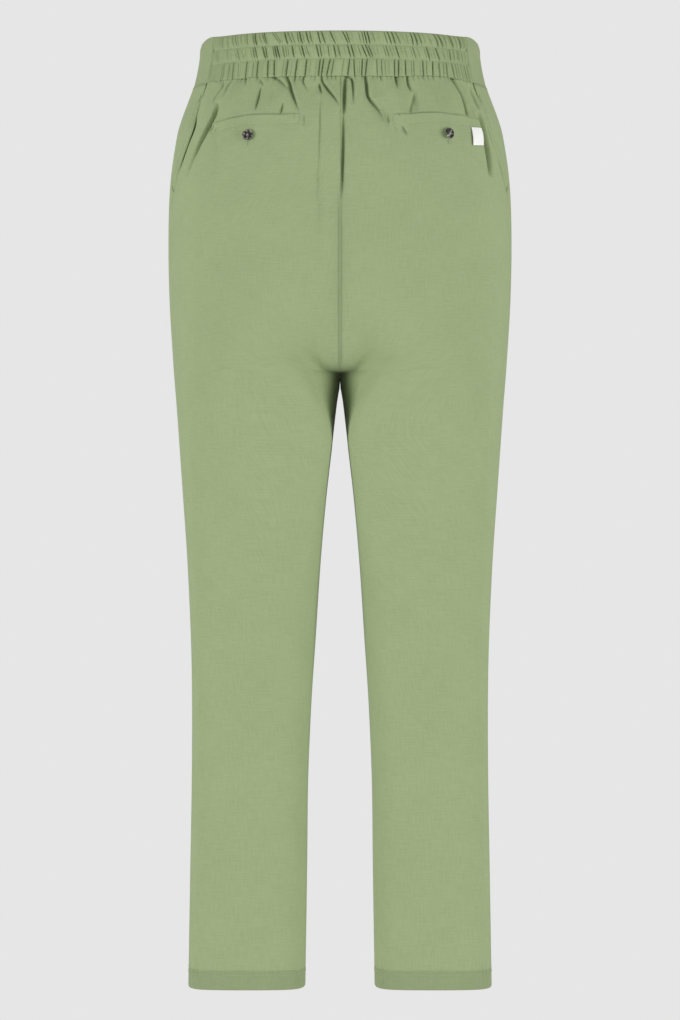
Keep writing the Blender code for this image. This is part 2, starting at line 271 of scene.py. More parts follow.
def rounded_cos(angle, square):
    """A cosine whose ring is an oval, the squarer the greater square is."""
    return (np.cos(angle) - square * np.cos(3 * angle)) / (1 - square)


def rounded_sin(angle, square):
    """The sine that goes with rounded_cos."""
    return (np.sin(angle) + square * np.sin(3 * angle)) / (1 - square)


def form(turn, drop):
    """Points of the smooth form: a ring round the body that parts into two legs."""
    turn, drop = np.broadcast_arrays(np.asarray(turn, float), np.asarray(drop, float))
    angle = np.radians(np.abs(turn))
    side, inner, back, front, square = (
        section_at(name, drop) for name in ("side", "inner", "back", "front", "square"))
    body_y = rounded_cos(angle, square)
    leg_y = rounded_sin(2 * angle, square)
    body_x = side * rounded_sin(angle, square)
    across = (1 - rounded_cos(2 * angle, square)) / 2
    inside = np.minimum(2 * across, 1)
    above = np.clip((CORNER_DROP - drop) / CORNER_RISE, 0, 1)
    corner = 1 - eased(above + ramp(drop, CORNER_DROP, CORNER_END))
    leg_x = inner + (side - inner) * across * inside ** (CORNER_POWER * corner)
    fall = ramp(drop, SEAT_DROP, CROTCH_DROP)
    centre = 1 - (1 - fall**SEAT_CORNER) ** (1 / SEAT_CORNER)
    away = eased(ramp(drop, THIGH_START, THIGH_DROP))
    share = away + (centre - away) * np.maximum(np.cos(2 * angle), 0) ** CROTCH_FOCUS
    x = between(body_x, leg_x, share)
    body_y = body_y * np.where(body_y > 0, back, front)
    leg_y = leg_y * np.where(leg_y > 0, back, front)
    y = between(body_y, leg_y, share) * (1 + SEAT_FULLNESS * share * (1 - share))
    return np.stack([np.where(turn < 0, -x, x), y, -drop], axis=-1)


TURN_STEP = 0.5
DROP_STEP = 0.002


def form_normal(turn, drop):
    """Directions straight out of the form."""
    turn, drop = np.broadcast_arrays(np.asarray(turn, float), np.asarray(drop, float))
    sign = np.where(turn < 0, -1.0, 1.0)
    around = (form(sign * np.minimum(np.abs(turn) + TURN_STEP, 180), drop)
              - form(sign * np.maximum(np.abs(turn) - TURN_STEP, CENTRE_TURN), drop))
    level = (np.abs(turn) < TURN_STEP) & (drop < SEAT_DROP)
    around = np.where(level[..., None], sign[..., None] * np.array([1.0, 0, 0]), around)
    upward = form(turn, np.maximum(drop - DROP_STEP, 0)) - form(turn, drop + DROP_STEP)
    normal = np.cross(upward, around) * sign[..., None]
    return normal / np.linalg.norm(normal, axis=-1, keepdims=True)


def draped(turn, drop, lift):
    """Points lifted off the form."""
    return form(turn, drop) + form_normal(turn, drop) * np.asarray(lift)[..., None]


RING_STOPS = 49


def ring_length(start, end, drop):
    """Length of cloth from one turn to another at each drop."""
    shares = np.linspace(0, 1, RING_STOPS)
    turns = start[:, None] + (end - start)[:, None] * shares
    points = form(turns, drop[:, None])
    return np.linalg.norm(np.diff(points, axis=1), axis=2).sum(axis=1)


def lengths_along(points):
    """How far along a path each of its points is."""
    steps = np.linalg.norm(np.diff(points, axis=0), axis=1)
    return np.concatenate([[0], np.cumsum(steps)])


HIP_RADIUS = 0.15


def round_hips(degrees):
    """About how many metres of cloth some degrees of turn are."""
    return np.radians(degrees) * HIP_RADIUS


def far_from(line_turn, turn, drop):
    """How far points of the form are from a line that runs down it at line_turn."""
    return np.linalg.norm(form(turn, drop) - form(line_turn, drop), axis=-1)


Crease = namedtuple("Crease", "path depth reach peak cliff slope", defaults=(0.0, 0, 0.4))
CLIFF_STEEPNESS = 1.5
CLIFF_LIP = 0.14
LIP_REACHES = 2.0
SLOPE_REACHES = 4.2
CREASE_MARGIN = 12
GATHER_DROP_MM = 52
GATHER_START = 0.55
STOPS_A_SPAN = 14


def smooth_path(knots):
    """Points on a smooth curve through a crease's own few points."""
    knots = np.array(knots, float)
    padded = np.vstack([2 * knots[0] - knots[1], knots, 2 * knots[-1] - knots[-2]])
    t = np.linspace(0, 1, STOPS_A_SPAN, endpoint=False)[:, None]
    spans = []
    for a, b, c, d in zip(padded, padded[1:], padded[2:], padded[3:]):
        spans.append(0.5 * (2 * b + (c - a) * t + (2 * a - 5 * b + 4 * c - d) * t**2
                            + (3 * b - a - 3 * c + d) * t**3))
    return np.vstack([*spans, knots[-1:]])


def crease_lift(turn, drop, creases):
    """How far creases push the cloth in or out. A crease's points are turn and drop in
    degrees and millimetres; its depth and reach are in millimetres, deepest at peak, a
    share of its length. The cloth stands up beside it on the side that cliff gives, 1 on
    the right of a crease that runs down and -1 on its left, and slopes into it from the
    other. A crease that starts at the band is already deep there.
    """
    shape = np.shape(turn)
    turn, drop = np.ravel(turn), np.ravel(drop)
    points = form(turn, drop)
    total = np.zeros(len(points))
    for crease in creases:
        path = smooth_path(crease.path)
        knots = form(path[:, 0], path[:, 1] * MM)
        reach = crease.reach * MM
        margin = CREASE_MARGIN * reach
        near = np.flatnonzero(np.all((points > knots.min(axis=0) - margin)
                                     & (points < knots.max(axis=0) + margin), axis=1))
        if not len(near):
            continue
        run = np.diff(knots, axis=0)
        offset = points[near, None] - knots[None, :-1]
        along = np.clip((offset * run).sum(axis=2) / (run**2).sum(axis=1), 0, 1)
        offset -= along[..., None] * run
        away = np.linalg.norm(offset, axis=2)
        nearest = away.argmin(axis=1)
        pick = np.arange(len(near)), nearest
        travelled = (nearest + along[pick]) / len(run)
        outward = form_normal(turn[near], drop[near])
        side = np.sign((np.cross(run[nearest], offset[pick]) * outward).sum(axis=1))
        start = GATHER_START if crease.path[0][1] < GATHER_DROP_MM else 0.0
        before = np.maximum(crease.peak - travelled, 0) / max(crease.peak, 1e-6)
        after = np.maximum(travelled - crease.peak, 0) / (1 - crease.peak)
        strength = 1 - (1 - start) * before**2 - after**2
        far = away[pick] * side / reach
        trough = crease.depth * bell(far, 1)
        behind = (1 - np.tanh(CLIFF_STEEPNESS * far * crease.cliff)) / 2
        slope = crease.slope * crease.depth * bell(np.abs(far), SLOPE_REACHES, 1) * behind
        lip = abs(crease.cliff) * CLIFF_LIP * crease.depth * bell(
            far * crease.cliff - LIP_REACHES, 1)
        total[near] += MM * strength * (lip - trough - slope)
    return total.reshape(shape)


BACK_CREASES = {
    "left": (
        Crease(((48.5, 50), (48.2, 57), (50.5, 68), (49, 75)), 2.3, 1.38, 0.3, 1),
        Crease(((46.9, 72), (47.3, 88), (49.7, 102), (53.3, 117), (56, 131)),
               12.0, 2.5, 0.45, 0, 0.1),
        Crease(((52, 112), (57, 135), (60, 152)), 4.0, 2.4, 0.3, 1, 0.4),
        Crease(((61, 70), (60.8, 88), (61.3, 100), (64, 115), (67.5, 130), (71.5, 146),
                (75, 162), (78, 182)), 5.0, 2.7, 0.75, 0, 0.1),
        Crease(((43.2, 50), (44.8, 57), (45, 70)), 2.6, 1.38, 0.2, 1),
        Crease(((36.5, 49), (35, 57)), 2.3, 1.25, 0.0, 1),
        Crease(((31, 49), (31, 54)), 1.8, 1.12),
        Crease(((30, 51), (27.5, 58)), 2.3, 1.25, 0.3, 1),
        Crease(((28.6, 57), (28.6, 74), (28.5, 87)), 3.6, 1.25, 0.45),
        Crease(((23.5, 60), (23.3, 76)), 0.8, 1.5, 0.5),
        Crease(((25.5, 47), (22, 52), (17.5, 63)), 3.6, 1.5, 0.4, 1),
        Crease(((19, 49), (17.5, 57), (16.5, 65), (15, 75), (13, 88)), 6.0, 1.62, 0.45, 1,
               0.45),
        Crease(((16, 49), (16, 59)), 2.6, 1.25),
        Crease(((12.5, 48), (12.8, 55), (10.5, 66)), 2.9, 1.38, 0.3, 1),
        Crease(((18.8, 77), (19.5, 91)), 2.9, 1.12, 0.6, -1),
        Crease(((7.3, 56), (6, 69)), 4.2, 1.5, 0.4, 1),
        Crease(((6.0, 62), (6.1, 85), (6.1, 105), (6.3, 140), (6.7, 175)), 1.6, 1.3, 0.45, 1),
        Crease(((6.2, 145), (6.4, 175), (5.8, 205), (5.4, 240)), 3.0, 3.4, 0.4, 1),
        Crease(((6.5, 48), (6, 55), (4.5, 62), (2, 72), (0, 82)), 4.9, 1.62, 0.5, 1, 0.4),
        Crease(((44.8, 104), (43, 125), (42.5, 145), (41.5, 182)), 0.8, 4.0, 0.3),
        Crease(((11.5, 89), (11.3, 106)), 1.2, 0.9, 0.5, -1),
        Crease(((14.4, 88), (14.8, 96)), 0.9, 0.9, 0.4),
        Crease(((45.6, 96), (47.6, 108)), 2.1, 1.12, 0.4, 1),
        Crease(((43.6, 101), (45, 106)), 0.8, 0.9, 0.5),
        Crease(((16.7, 990), (18.9, 1005)), 0.9, 1.2, 0.6),
        Crease(((20, 1011), (19.9, 1024)), 0.9, 1.2, 0.5),
        Crease(((11.1, 1013), (10.8, 1026)), 1.1, 1.2, 0.8),
    ),
    "right": (
        Crease(((-2.1, 49), (-1.6, 70), (-1.4, 92)), 6.4, 2.1, 0.55, 1, 0.4),
        Crease(((-1.1, 80), (-1.1, 120), (-0.8, 150), (-0.7, 183)), 4.9, 1.8, 0.5, 1, 0.4),
        Crease(((-2.5, 48), (-4.3, 55), (-4.3, 82)), 4.7, 1.5, 0.35, 1),
        Crease(((-9, 47), (-9.2, 58), (-9.5, 72), (-12, 85), (-13.8, 98)), 6.5, 1.88, 0.35,
               1, 0.45),
        Crease(((-14.5, 49), (-14.6, 55)), 2.1, 1.12),
        Crease(((-20.2, 47), (-19.8, 63)), 4.2, 1.5, 0.2),
        Crease(((-25, 46), (-24.5, 58), (-25, 66)), 4.2, 1.38, 0.3),
        Crease(((-26.5, 66), (-24, 80), (-22.6, 91)), 2.9, 2.0, 0.6),
        Crease(((-31, 47), (-31.3, 54)), 2.1, 1.12),
        Crease(((-45.8, 48), (-47, 57), (-48.5, 66), (-48.7, 78), (-48, 90)),
               10.0, 2.3, 0.5, -1, 0.45),
        Crease(((-50, 50), (-53, 62)), 1.0, 1.5, 0.4),
        Crease(((-57, 52), (-57.8, 66), (-58, 80)), 2.9, 1.62, 0.6),
        Crease(((-56.6, 80), (-57.2, 92), (-57.9, 104), (-58.4, 118), (-58.5, 130),
                (-58.2, 142), (-58, 152)), 13.0, 3.1, 0.5, 0, 0.1),
        Crease(((-67.3, 126), (-71, 142), (-75, 158), (-78.5, 173), (-81.5, 192)),
               12.0, 2.6, 0.5, 0, 0.1),
        Crease(((-19.5, 102), (-21.5, 113)), 2.9, 1.38, 0.4),
        Crease(((-42, 125), (-42, 182)), 0.6, 4.0, 0.4),
        Crease(((-12, 74), (-13.6, 86), (-15.8, 100)), 3.4, 3.6, 0.6),
        Crease(((-25.3, 56), (-25.6, 70), (-25.2, 88)), 2.6, 3.8, 0.7),
        Crease(((-52, 74), (-54, 92)), 1.6, 3.5, 0.5),
        Crease(((-15.6, 88), (-15.4, 104)), 1.3, 0.9, 0.5, 1),
        Crease(((-18.6, 88), (-19.6, 97)), 1.0, 0.9, 0.4),
        Crease(((-17, 103), (-18.2, 108)), 0.8, 0.9, 0.5),
        Crease(((-18.8, 995), (-20.9, 1007)), 0.9, 1.2, 0.6),
        Crease(((-21.2, 1013), (-21, 1024)), 0.9, 1.2, 0.5),
        Crease(((-6.5, 1012), (-10, 1026)), 1.1, 1.2, 0.8),
    ),
}

# Short gathers at the band's foot: the turn, the length in millimetres, and the depth.
GATHERS = {
    "left": ((57.5, 5, 0.9), (53, 4, 0.8), (50.3, 6, 1.3), (40.2, 4, 1.0), (38.5, 5, 1.2),
             (34, 6, 1.0), (26.7, 4, 1.2), (24, 5, 1.4), (21.8, 4, 1.0), (14.2, 6, 1.4),
             (10, 4, 1.0), (8.8, 6, 1.6), (4.6, 5, 1.6), (3, 4, 1.3), (1.5, 5, 1.2)),
    "right": ((-5.2, 5, 1.6), (-7.7, 6, 1.7), (-11.5, 5, 1.2), (-13.2, 4, 1.2),
              (-16.8, 5, 1.0), (-18.3, 4, 1.0), (-21.2, 5, 1.4), (-23, 4, 0.9),
              (-27, 5, 1.3), (-29, 5, 1.0), (-33.5, 6, 1.3), (-36, 5, 1.6),
              (-39.5, 4, 1.2), (-41.5, 5, 0.9), (-43.3, 6, 1.4), (-53.5, 4, 1.0),
              (-55.5, 5, 0.8)),
}
GATHER_REACH_MM = 1.0

Pocket = namedtuple("Pocket", "mouth button tilt")
POCKETS = {
    "left": Pocket(((13, 90.5), (19, 91), (30, 91), (35, 92), (41, 95), (46.8, 96.5)), 30.1, 4),
    "right": Pocket(((-17.2, 91), (-22, 90.5), (-27, 88.5), (-33, 88), (-38, 88.7),
                     (-52, 89.5), (-57.6, 90)), -36.6, 20),
}
MOUTH_DEPTH_MM = 2.2
MOUTH_REACH_MM = 0.8

# The band's foot is pulled up behind the right hip, and its top is higher at the sides.
FOOT_RISE = 0.0028
RISE_TURN = -39
RISE_REACH = 13
RISE_FROM = 0.031
RISE_TO = 0.083
TOP_RISE = 0.0020
TOP_RISE_TURN = 67
TOP_RISE_REACH = 9


def risen(turn, drop):
    """Drops with the band's foot pulled up by the gathers behind the right hip, and its top
    standing a little higher at the sides."""
    share = ramp(drop, RISE_FROM, BAND_FOOT) * ramp(drop, RISE_TO, BAND_FOOT)
    foot = FOOT_RISE * bell(turn - RISE_TURN, RISE_REACH) * eased(share)
    beside = bell(np.abs(turn) - TOP_RISE_TURN, TOP_RISE_REACH)
    return drop - foot - TOP_RISE * beside * np.clip(1 - drop / BAND_FOOT, 0, 1)


FOOT_STAND = 0.0011
FOOT_FADE = 0.006
FOOT_ROLL = 0.0002
FOOT_REACH = 0.0012


def foot_lift(drop):
    """The panels stand out a little under the band, and dip into its seam."""
    below = drop - BAND_FOOT
    return FOOT_STAND * bell(below, FOOT_FADE, 1) - FOOT_ROLL * bell(below, FOOT_REACH)


SEAM_ROLL = 0.0009
SEAM_REACH = 0.0011
SIDE_REACH = 0.0016
SIDE_MOUTH = 2.0
LEFT_MOUTH_DROP = 0.122
LEFT_MOUTH_HALF = 0.060
RIGHT_MOUTH_DROP = 0.160
RIGHT_MOUTH_HALF = 0.045


def side_roll(turn, drop):
    """How deep the panels roll in at the side seams: most along the side pocket's mouth,
    which gapes lower down on the right."""
    middle = np.where(turn > 0, LEFT_MOUTH_DROP, RIGHT_MOUTH_DROP)
    half = np.where(turn > 0, LEFT_MOUTH_HALF, RIGHT_MOUTH_HALF)
    return SEAM_ROLL * (1 + SIDE_MOUTH * bell(drop - middle, half, 4))


ROLL_FROM = 0.12
ROLL_FULL = 0.18
CROTCH_FADE = 0.06


def centre_roll(drop):
    """How deep the panels roll in along the centre and inner seams: not at the crotch,
    where that would open them, nor beside the deep fold under the band."""
    from_crotch = np.abs(drop - CROTCH_DROP)
    return (SEAM_ROLL * ramp(drop, ROLL_FROM, ROLL_FULL)
            * ramp(from_crotch, CROTCH_FADE, 2 * CROTCH_FADE))


CENTRE_FROM = 0.15
CENTRE_FULL = 0.20
CENTRE_END = 0.012
GROOVE = 0.0013
GROOVE_AWAY = 0.0011
GROOVE_REACH = 0.0007
HOLLOW = 0.0010
HOLLOW_REACH = 0.007
ALLOWANCE_PLIES = 0.25
ALLOWANCE_REACH = 0.010
SEAT_DEGREE = 0.0031


def along_centre(drop):
    """How much the centre seam shows: from the deep fold down to the crotch."""
    return (ramp(drop, CENTRE_FROM, CENTRE_FULL)
            * ramp(drop, CROTCH_DROP, CROTCH_DROP - CENTRE_END))


def centre_seam(to_centre, drop):
    """The centre back seam from the deep fold to the crotch: its allowance stands up
    between two fine grooves, in a soft hollow. Down the legs the panels only roll in."""
    groove = GROOVE * bell(to_centre - GROOVE_AWAY, GROOVE_REACH)
    hollow = HOLLOW * bell(to_centre, HOLLOW_REACH)
    roll = centre_roll(drop) * (drop > CROTCH_DROP) * bell(to_centre, SEAM_REACH)
    return along_centre(drop) * (groove + hollow) + roll


def allowance(turn, drop):
    """The extra ply count behind the centre seams, which darkens the colour as painted shade:
    the pressed-open allowances, and most in the two grooves where the seam pulls the
    panels' edges down, as shade in those grooves."""
    away = np.minimum(np.abs(turn), 180 - np.abs(turn)) * SEAT_DEGREE
    groove = bell(away - GROOVE_AWAY, GROOVE_REACH)
    return along_centre(drop) * (groove + ALLOWANCE_PLIES * bell(away, ALLOWANCE_REACH, 4))


HEM_HEIGHT = 0.021
HEM_PUCKER = 0.0005
HEM_PUCKER_REACH = 0.011
HEM_SINK = 0.00022
HEM_SINK_REACH = 0.0012
# Waves round a hem, in radians for each degree of turn; none is a multiple of another.
PULL_SHARE = 0.6
PULL_WAVES = (0.41, 0.153)
PUCKER_WAVES = (1.3, 0.37, 0.11)
PUCKER_WANDER = 2.2


def hem_line(turn, drop):
    """The row of stitching round a hem, pulled in unevenly, with the cloth puckered by it."""
    off_row = drop - HEM_DROP + HEM_HEIGHT
    quick, slow = PULL_WAVES
    pull = 1 + PULL_SHARE * np.sin(turn * quick) * np.sin(turn * slow + 1)
    ripple, wander, swell = PUCKER_WAVES
    pucker = np.sin(turn * ripple + PUCKER_WANDER * np.sin(turn * wander))
    pucker = HEM_PUCKER * pucker * np.sin(turn * swell)
    return (pucker * bell(off_row, HEM_PUCKER_REACH)
            - HEM_SINK * pull * bell(off_row, HEM_SINK_REACH))


PUFF = 0.0040
PUFF_DROP = 0.090
PUFF_END = 0.200
PUFF_SIDE_REACH = 0.035
BILLOW = 0.0012
BILLOW_DROP = 0.066
BILLOW_FALL = 0.058
BILLOW_WIDTH_MM = 2.7
Swell = namedtuple("Swell", "height across down start")
SWELLS = (Swell(0.50, 5.3, 0.060, 1.0), Swell(0.60, 8.9, -0.090, 2.1),
          Swell(0.35, 3.6, 0.035, 0.4))


def billow(turn, drop):
    """The fullness under the gathered band: it stands out below it, and swells unevenly."""
    to_side = round_hips(section_at("seam", drop) - np.abs(turn))
    rise = ramp(drop, BAND_FOOT, PUFF_DROP)
    puff = PUFF * rise * (2 - rise) * eased(ramp(drop, PUFF_END, PUFF_DROP))
    puff *= 1 - bell(to_side, PUFF_SIDE_REACH)
    across, down = turn * BILLOW_WIDTH_MM, drop / MM
    swell = sum(wave.height * np.sin(across / wave.across + wave.down * down + wave.start)
                for wave in SWELLS)
    return puff + BILLOW * swell * bell(drop - BILLOW_DROP, BILLOW_FALL)


def back_drape(side, turn, drop):
    """Lift of a back panel's own folds and gathers, on which its pocket is laid."""
    foot = BAND_FOOT / MM
    gathers = [Crease(((at_turn, foot), (at_turn, foot + length)), depth, GATHER_REACH_MM)
               for at_turn, length, depth in GATHERS[side]]
    return billow(turn, drop) + crease_lift(turn, drop, [*BACK_CREASES[side], *gathers])


def back_relief(side, turn, drop):
    """Lift of a back panel: its folds, the pocket's mouth, and the roll into its seams."""
    to_side = far_from(SIGN[side] * section_at("seam", drop), turn, drop)
    to_centre = far_from(SIGN[side] * CENTRE_TURN, turn, drop)
    mouth = Crease(POCKETS[side].mouth, MOUTH_DEPTH_MM, MOUTH_REACH_MM, peak=0.5)
    lift = back_drape(side, turn, drop) + crease_lift(turn, drop, (mouth,))
    lift -= side_roll(turn, drop) * bell(to_side, SIDE_REACH)
    lift += foot_lift(drop) + hem_line(turn, drop) - centre_seam(to_centre, drop)
    return lift


SEAM_GAP = 0.00003
HEM_ROUND = 0.0009
HEM_MARGIN = 0.004
FINE_DROP = 0.161
FINE_ROWS = 26
HIP_ROWS = 10
SEAT_ROWS = 36
LEG_ROWS = 84
HEM_ROWS = 24
ROUND_ROWS = 4
TURN_UP_ROWS = 7


def panel_profile():
    """Rows of a panel, as drop and lift: close near the band, spread out down the leg,
    close again to the hem, then round the hem's edge and up behind it."""
    top = BAND_FOOT + SEAM_GAP
    hem_top = HEM_DROP - HEM_HEIGHT - HEM_MARGIN
    yoke = np.linspace(top, FINE_DROP, FINE_ROWS, endpoint=False)
    seat = np.linspace(FINE_DROP, SEAT_DROP, HIP_ROWS, endpoint=False)
    curve = np.sin(np.pi / 2 * np.arange(SEAT_ROWS) / SEAT_ROWS)
    crotch = between(SEAT_DROP, CROTCH_DROP, curve)
    leg = np.linspace(CROTCH_DROP, hem_top, LEG_ROWS, endpoint=False)
    hem = np.linspace(hem_top, HEM_DROP - HEM_ROUND, HEM_ROWS, endpoint=False)
    bend = np.linspace(0, np.pi, ROUND_ROWS, endpoint=False)
    inside = np.linspace(HEM_DROP - HEM_ROUND, HEM_DROP - HEM_HEIGHT, TURN_UP_ROWS)
    flat = np.concatenate([yoke, seat, crotch, leg, hem])
    drops = np.concatenate([flat, HEM_DROP - HEM_ROUND * (1 - np.sin(bend)), inside])
    lifts = np.concatenate([0 * flat, -HEM_ROUND * (1 - np.cos(bend)),
                            0 * inside - 2 * HEM_ROUND])
    return drops, lifts


ROW_SLACK = 0.01


def cloth_grid(name, columns, rows, place, finer=()):
    """A mesh object from a grid of cells. From shares across and row numbers down, place
    gives points, cloth positions in metres for the weave, and a ply count, by which the
    cloth's colour is darkened as painted shade.
    Each of finer is a first row, a last row, and how many cuts go through their cells."""
    mesh = bmesh.new()
    bmesh.ops.create_grid(mesh, x_segments=columns, y_segments=rows, size=0.5)
    for first, last, cuts in finer:
        zone = [edge for edge in mesh.edges
                if all(first - ROW_SLACK <= (0.5 - vertex.co.y) * rows <= last + ROW_SLACK
                       for vertex in edge.verts)]
        bmesh.ops.subdivide_edges(mesh, edges=zone, cuts=cuts, use_grid_fill=True)
    piece = mesh_object(name, mesh)
    data = piece.data
    flat = np.empty(len(data.vertices) * 3, dtype=np.float32)
    data.vertices.foreach_get("co", flat)
    flat = flat.reshape(-1, 3)
    across = np.clip(flat[:, 0] + 0.5, 0, 1).astype(float)
    down = np.clip(0.5 - flat[:, 1], 0, 1).astype(float) * rows
    points, cloth, ply_shade = place(across, down)
    data.vertices.foreach_set("co", points.astype(np.float32).ravel())
    ply_shade_layer = data.attributes.new("ply_shade", "FLOAT", "POINT")
    ply_shade_layer.data.foreach_set("value", (ply_shade + 0 * across).astype(np.float32))
    corners = np.empty(len(data.loops), dtype=np.int32)
    data.loops.foreach_get("vertex_index", corners)
    layer = data.uv_layers.new(name="cloth")
    layer.data.foreach_set("uv", cloth[corners].astype(np.float32).ravel())
    data.update()
    data.shade_smooth()
    return piece


CLOTH_THICKNESS = 0.0008


def thicken(piece):
    """Give a sheet its wall, on its inner side."""
    wall = piece.modifiers.new("wall", "SOLIDIFY")
    wall.thickness = CLOTH_THICKNESS
    wall.offset = -1


def row_value(values, down):
    """The value of a row, or between two rows."""
    return np.interp(down, np.arange(len(values)), values)


PROFILE_DROPS, PROFILE_LIFTS = panel_profile()
HEM_ROW = int(np.searchsorted(PROFILE_DROPS[:-TURN_UP_ROWS], HEM_DROP - HEM_HEIGHT))
TURN_ROW = len(PROFILE_DROPS) - TURN_UP_ROWS - ROUND_ROWS
PROFILE_LENGTHS = lengths_along(np.stack([PROFILE_DROPS, PROFILE_LIFTS], axis=1))
PANEL_SEAMS = section_at("seam", PROFILE_DROPS)
SEAM_DRAW = 0.85
SEAM_DRAW_REACH = 0.09


def closer_at_seams(across):
    """Shares across a panel, with the columns drawn close together towards both its sides."""
    side = np.minimum(across, 1 - across)
    drawn = side * (1 - SEAM_DRAW * bell(side, SEAM_DRAW_REACH, 1) * (1 - 2 * side))
    return np.where(across < 0.5, drawn, 1 - drawn)


def place_panel(start, end, relief):
    """The place function of a panel that spans the turns start and end at each row."""
    widths = ring_length(start, end, PROFILE_DROPS)

    def place(across, down):
        across = closer_at_seams(across)
        drop = row_value(PROFILE_DROPS, down)
        first = row_value(start, down)
        last = row_value(end, down)
        turn = between(first, last, across)
        lift = row_value(PROFILE_LIFTS, down)
        points = draped(turn, risen(turn, drop), lift + relief(turn, drop))
        sign = np.sign(first.mean() + last.mean())
        points[:, 0] = sign * np.maximum(sign * points[:, 0], SEAM_GAP / 2)
        cloth = np.stack([across * row_value(widths, down),
                          -row_value(PROFILE_LENGTHS, down)], axis=1)
        # Painted shade: one ply more over the hem, and the centre seam's allowances and
        # grooves, darken the colour.
        ply_shade = 1 + (down >= HEM_ROW - ROW_SLACK) + allowance(turn, drop)
        return points, cloth, ply_shade

    return place


DOUBLED_SHADE = 0.85


def linen(name, seed):
    """Plain-woven linen and cotton: matt, piece-dyed, with uneven yarns. The yarns are
    about 0.4 mm apart, too fine to show, so they are drawn as slubs some 1 mm across. One
    ply lets some light through. That light is not rendered, so the colour is darkened by
    each piece's ply count as painted shade: a hem or a casing, which has more, looks deeper."""
    material, tree = new_material(name)
    place = add_node(tree, "ShaderNodeUVMap", settings={"uv_map": "cloth"})
    slubs = []
    for number, (across, along) in enumerate(((1.1, 16.0), (16.0, 1.1))):
        stretched = add_node(tree, "ShaderNodeMapping", inputs={
            "Vector": place.outputs["UV"], "Location": (seed + number, seed, 0),
            "Scale": (1000 / across, 1000 / along, 1)})
        slubs.append(add_node(tree, "ShaderNodeTexNoise", settings={"noise_dimensions": "2D"},
                              inputs={"Vector": stretched.outputs["Vector"], "Scale": 1.0,
                                      "Detail": 2.0, "Roughness": 0.6}))
    crossed = add_node(tree, "ShaderNodeMath", settings={"operation": "ADD"}, inputs={
        0: slubs[0].outputs["Fac"], 1: slubs[1].outputs["Fac"]})
    yarn = add_node(tree, "ShaderNodeMapRange", inputs={
        "Value": crossed.outputs["Value"], "From Min": 0.7, "From Max": 1.3})
    dyed = add_node(tree, "ShaderNodeMix", settings={"data_type": "RGBA"}, inputs={
        "Factor": yarn.outputs["Result"], "A": linear("#96A57A"), "B": linear("#9EAD82")})
    cloud = add_node(tree, "ShaderNodeTexNoise", settings={"noise_dimensions": "2D"}, inputs={
        "Vector": place.outputs["UV"], "Scale": 22.0, "Detail": 3.0})
    patchy = add_node(tree, "ShaderNodeMapRange", inputs={
        "Value": cloud.outputs["Fac"], "From Min": 0.3, "From Max": 0.7,
        "To Min": 0.985, "To Max": 1.015})
    colour = add_node(tree, "ShaderNodeVectorMath", settings={"operation": "SCALE"}, inputs={
        0: dyed.outputs["Result"], "Scale": patchy.outputs["Result"]})
    # Painted shade: the colour is darkened by the ply count that each piece gives.
    ply_shade = add_node(tree, "ShaderNodeAttribute", settings={"attribute_name": "ply_shade"})
    ply_shade_factor = add_node(tree, "ShaderNodeMapRange", inputs={
        "Value": ply_shade.outputs["Fac"], "From Min": 1.0, "From Max": 2.0,
        "To Min": 1.0, "To Max": DOUBLED_SHADE})
    shaded = add_node(tree, "ShaderNodeVectorMath", settings={"operation": "SCALE"}, inputs={
        0: colour.outputs["Vector"], "Scale": ply_shade_factor.outputs["Result"]})
    bump = add_node(tree, "ShaderNodeBump", inputs={
        "Height": crossed.outputs["Value"], "Strength": 0.15, "Distance": 0.0004})
    shader = add_node(tree, "ShaderNodeBsdfPrincipled", inputs={
        "Base Color": shaded.outputs["Vector"], "Roughness": 0.95, "IOR": 1.45,
        "Specular IOR Level": 0.2, "Sheen Weight": 0.08, "Sheen Roughness": 0.5,
        "Normal": bump.outputs["Normal"]})
    add_node(tree, "ShaderNodeOutputMaterial", inputs={"Surface": shader.outputs["BSDF"]})
    return material


LINEN = linen("sage_linen", 3.0)
BACK_COLUMNS = 74
YOKE_CUTS = 3
HEM_CUTS = 1
ROWS_OVER_HEM = 4


def finish_piece(piece, material, slot, *nodes):
    """Give a piece its material and its body, and hide the solids that it stands for. Its slot
    is not used.
    """
    piece.data.materials.append(material)
    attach(piece, "root")
    if nodes:
        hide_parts(*nodes)


centre = np.full_like(PANEL_SEAMS, CENTRE_TURN)
for side, edges in (("left", (PANEL_SEAMS, centre)), ("right", (-centre, -PANEL_SEAMS))):
    panel = cloth_grid("back_panel_" + side, BACK_COLUMNS, len(PROFILE_DROPS) - 1,
                       place_panel(*edges, partial(back_relief, side)),
                       finer=((0, FINE_ROWS, YOKE_CUTS),
                              (HEM_ROW - ROWS_OVER_HEM, TURN_ROW, HEM_CUTS)))
    thicken(panel)
    finish_piece(panel, LINEN, "cloth", "back_" + side)


# ---------------------------------------------------------------------------
# Front panels. Cut like the back ones but smooth, with a plain centre seam. The side
# pockets' mouths are in the side seams.
# ---------------------------------------------------------------------------
FRONT_COLUMNS = 84
FRONT_CREASES = (
    Crease(((172, 49), (170, 70), (166, 100)), 1.2, 3.0),
    Crease(((158, 49), (157, 80), (152, 120)), 1.6, 4.0),
    Crease(((139, 49), (138, 66), (133, 90)), 1.3, 3.2),
    Crease(((121, 49), (122, 74), (118, 112)), 1.5, 4.0),
    Crease(((104, 49), (103, 62)), 1.0, 3.0),
    Crease(((176, 318), (160, 300), (140, 290)), 1.5, 7.0, 0.1),
    Crease(((177, 345), (160, 342), (138, 350)), 1.2, 7.0, 0.1),
)


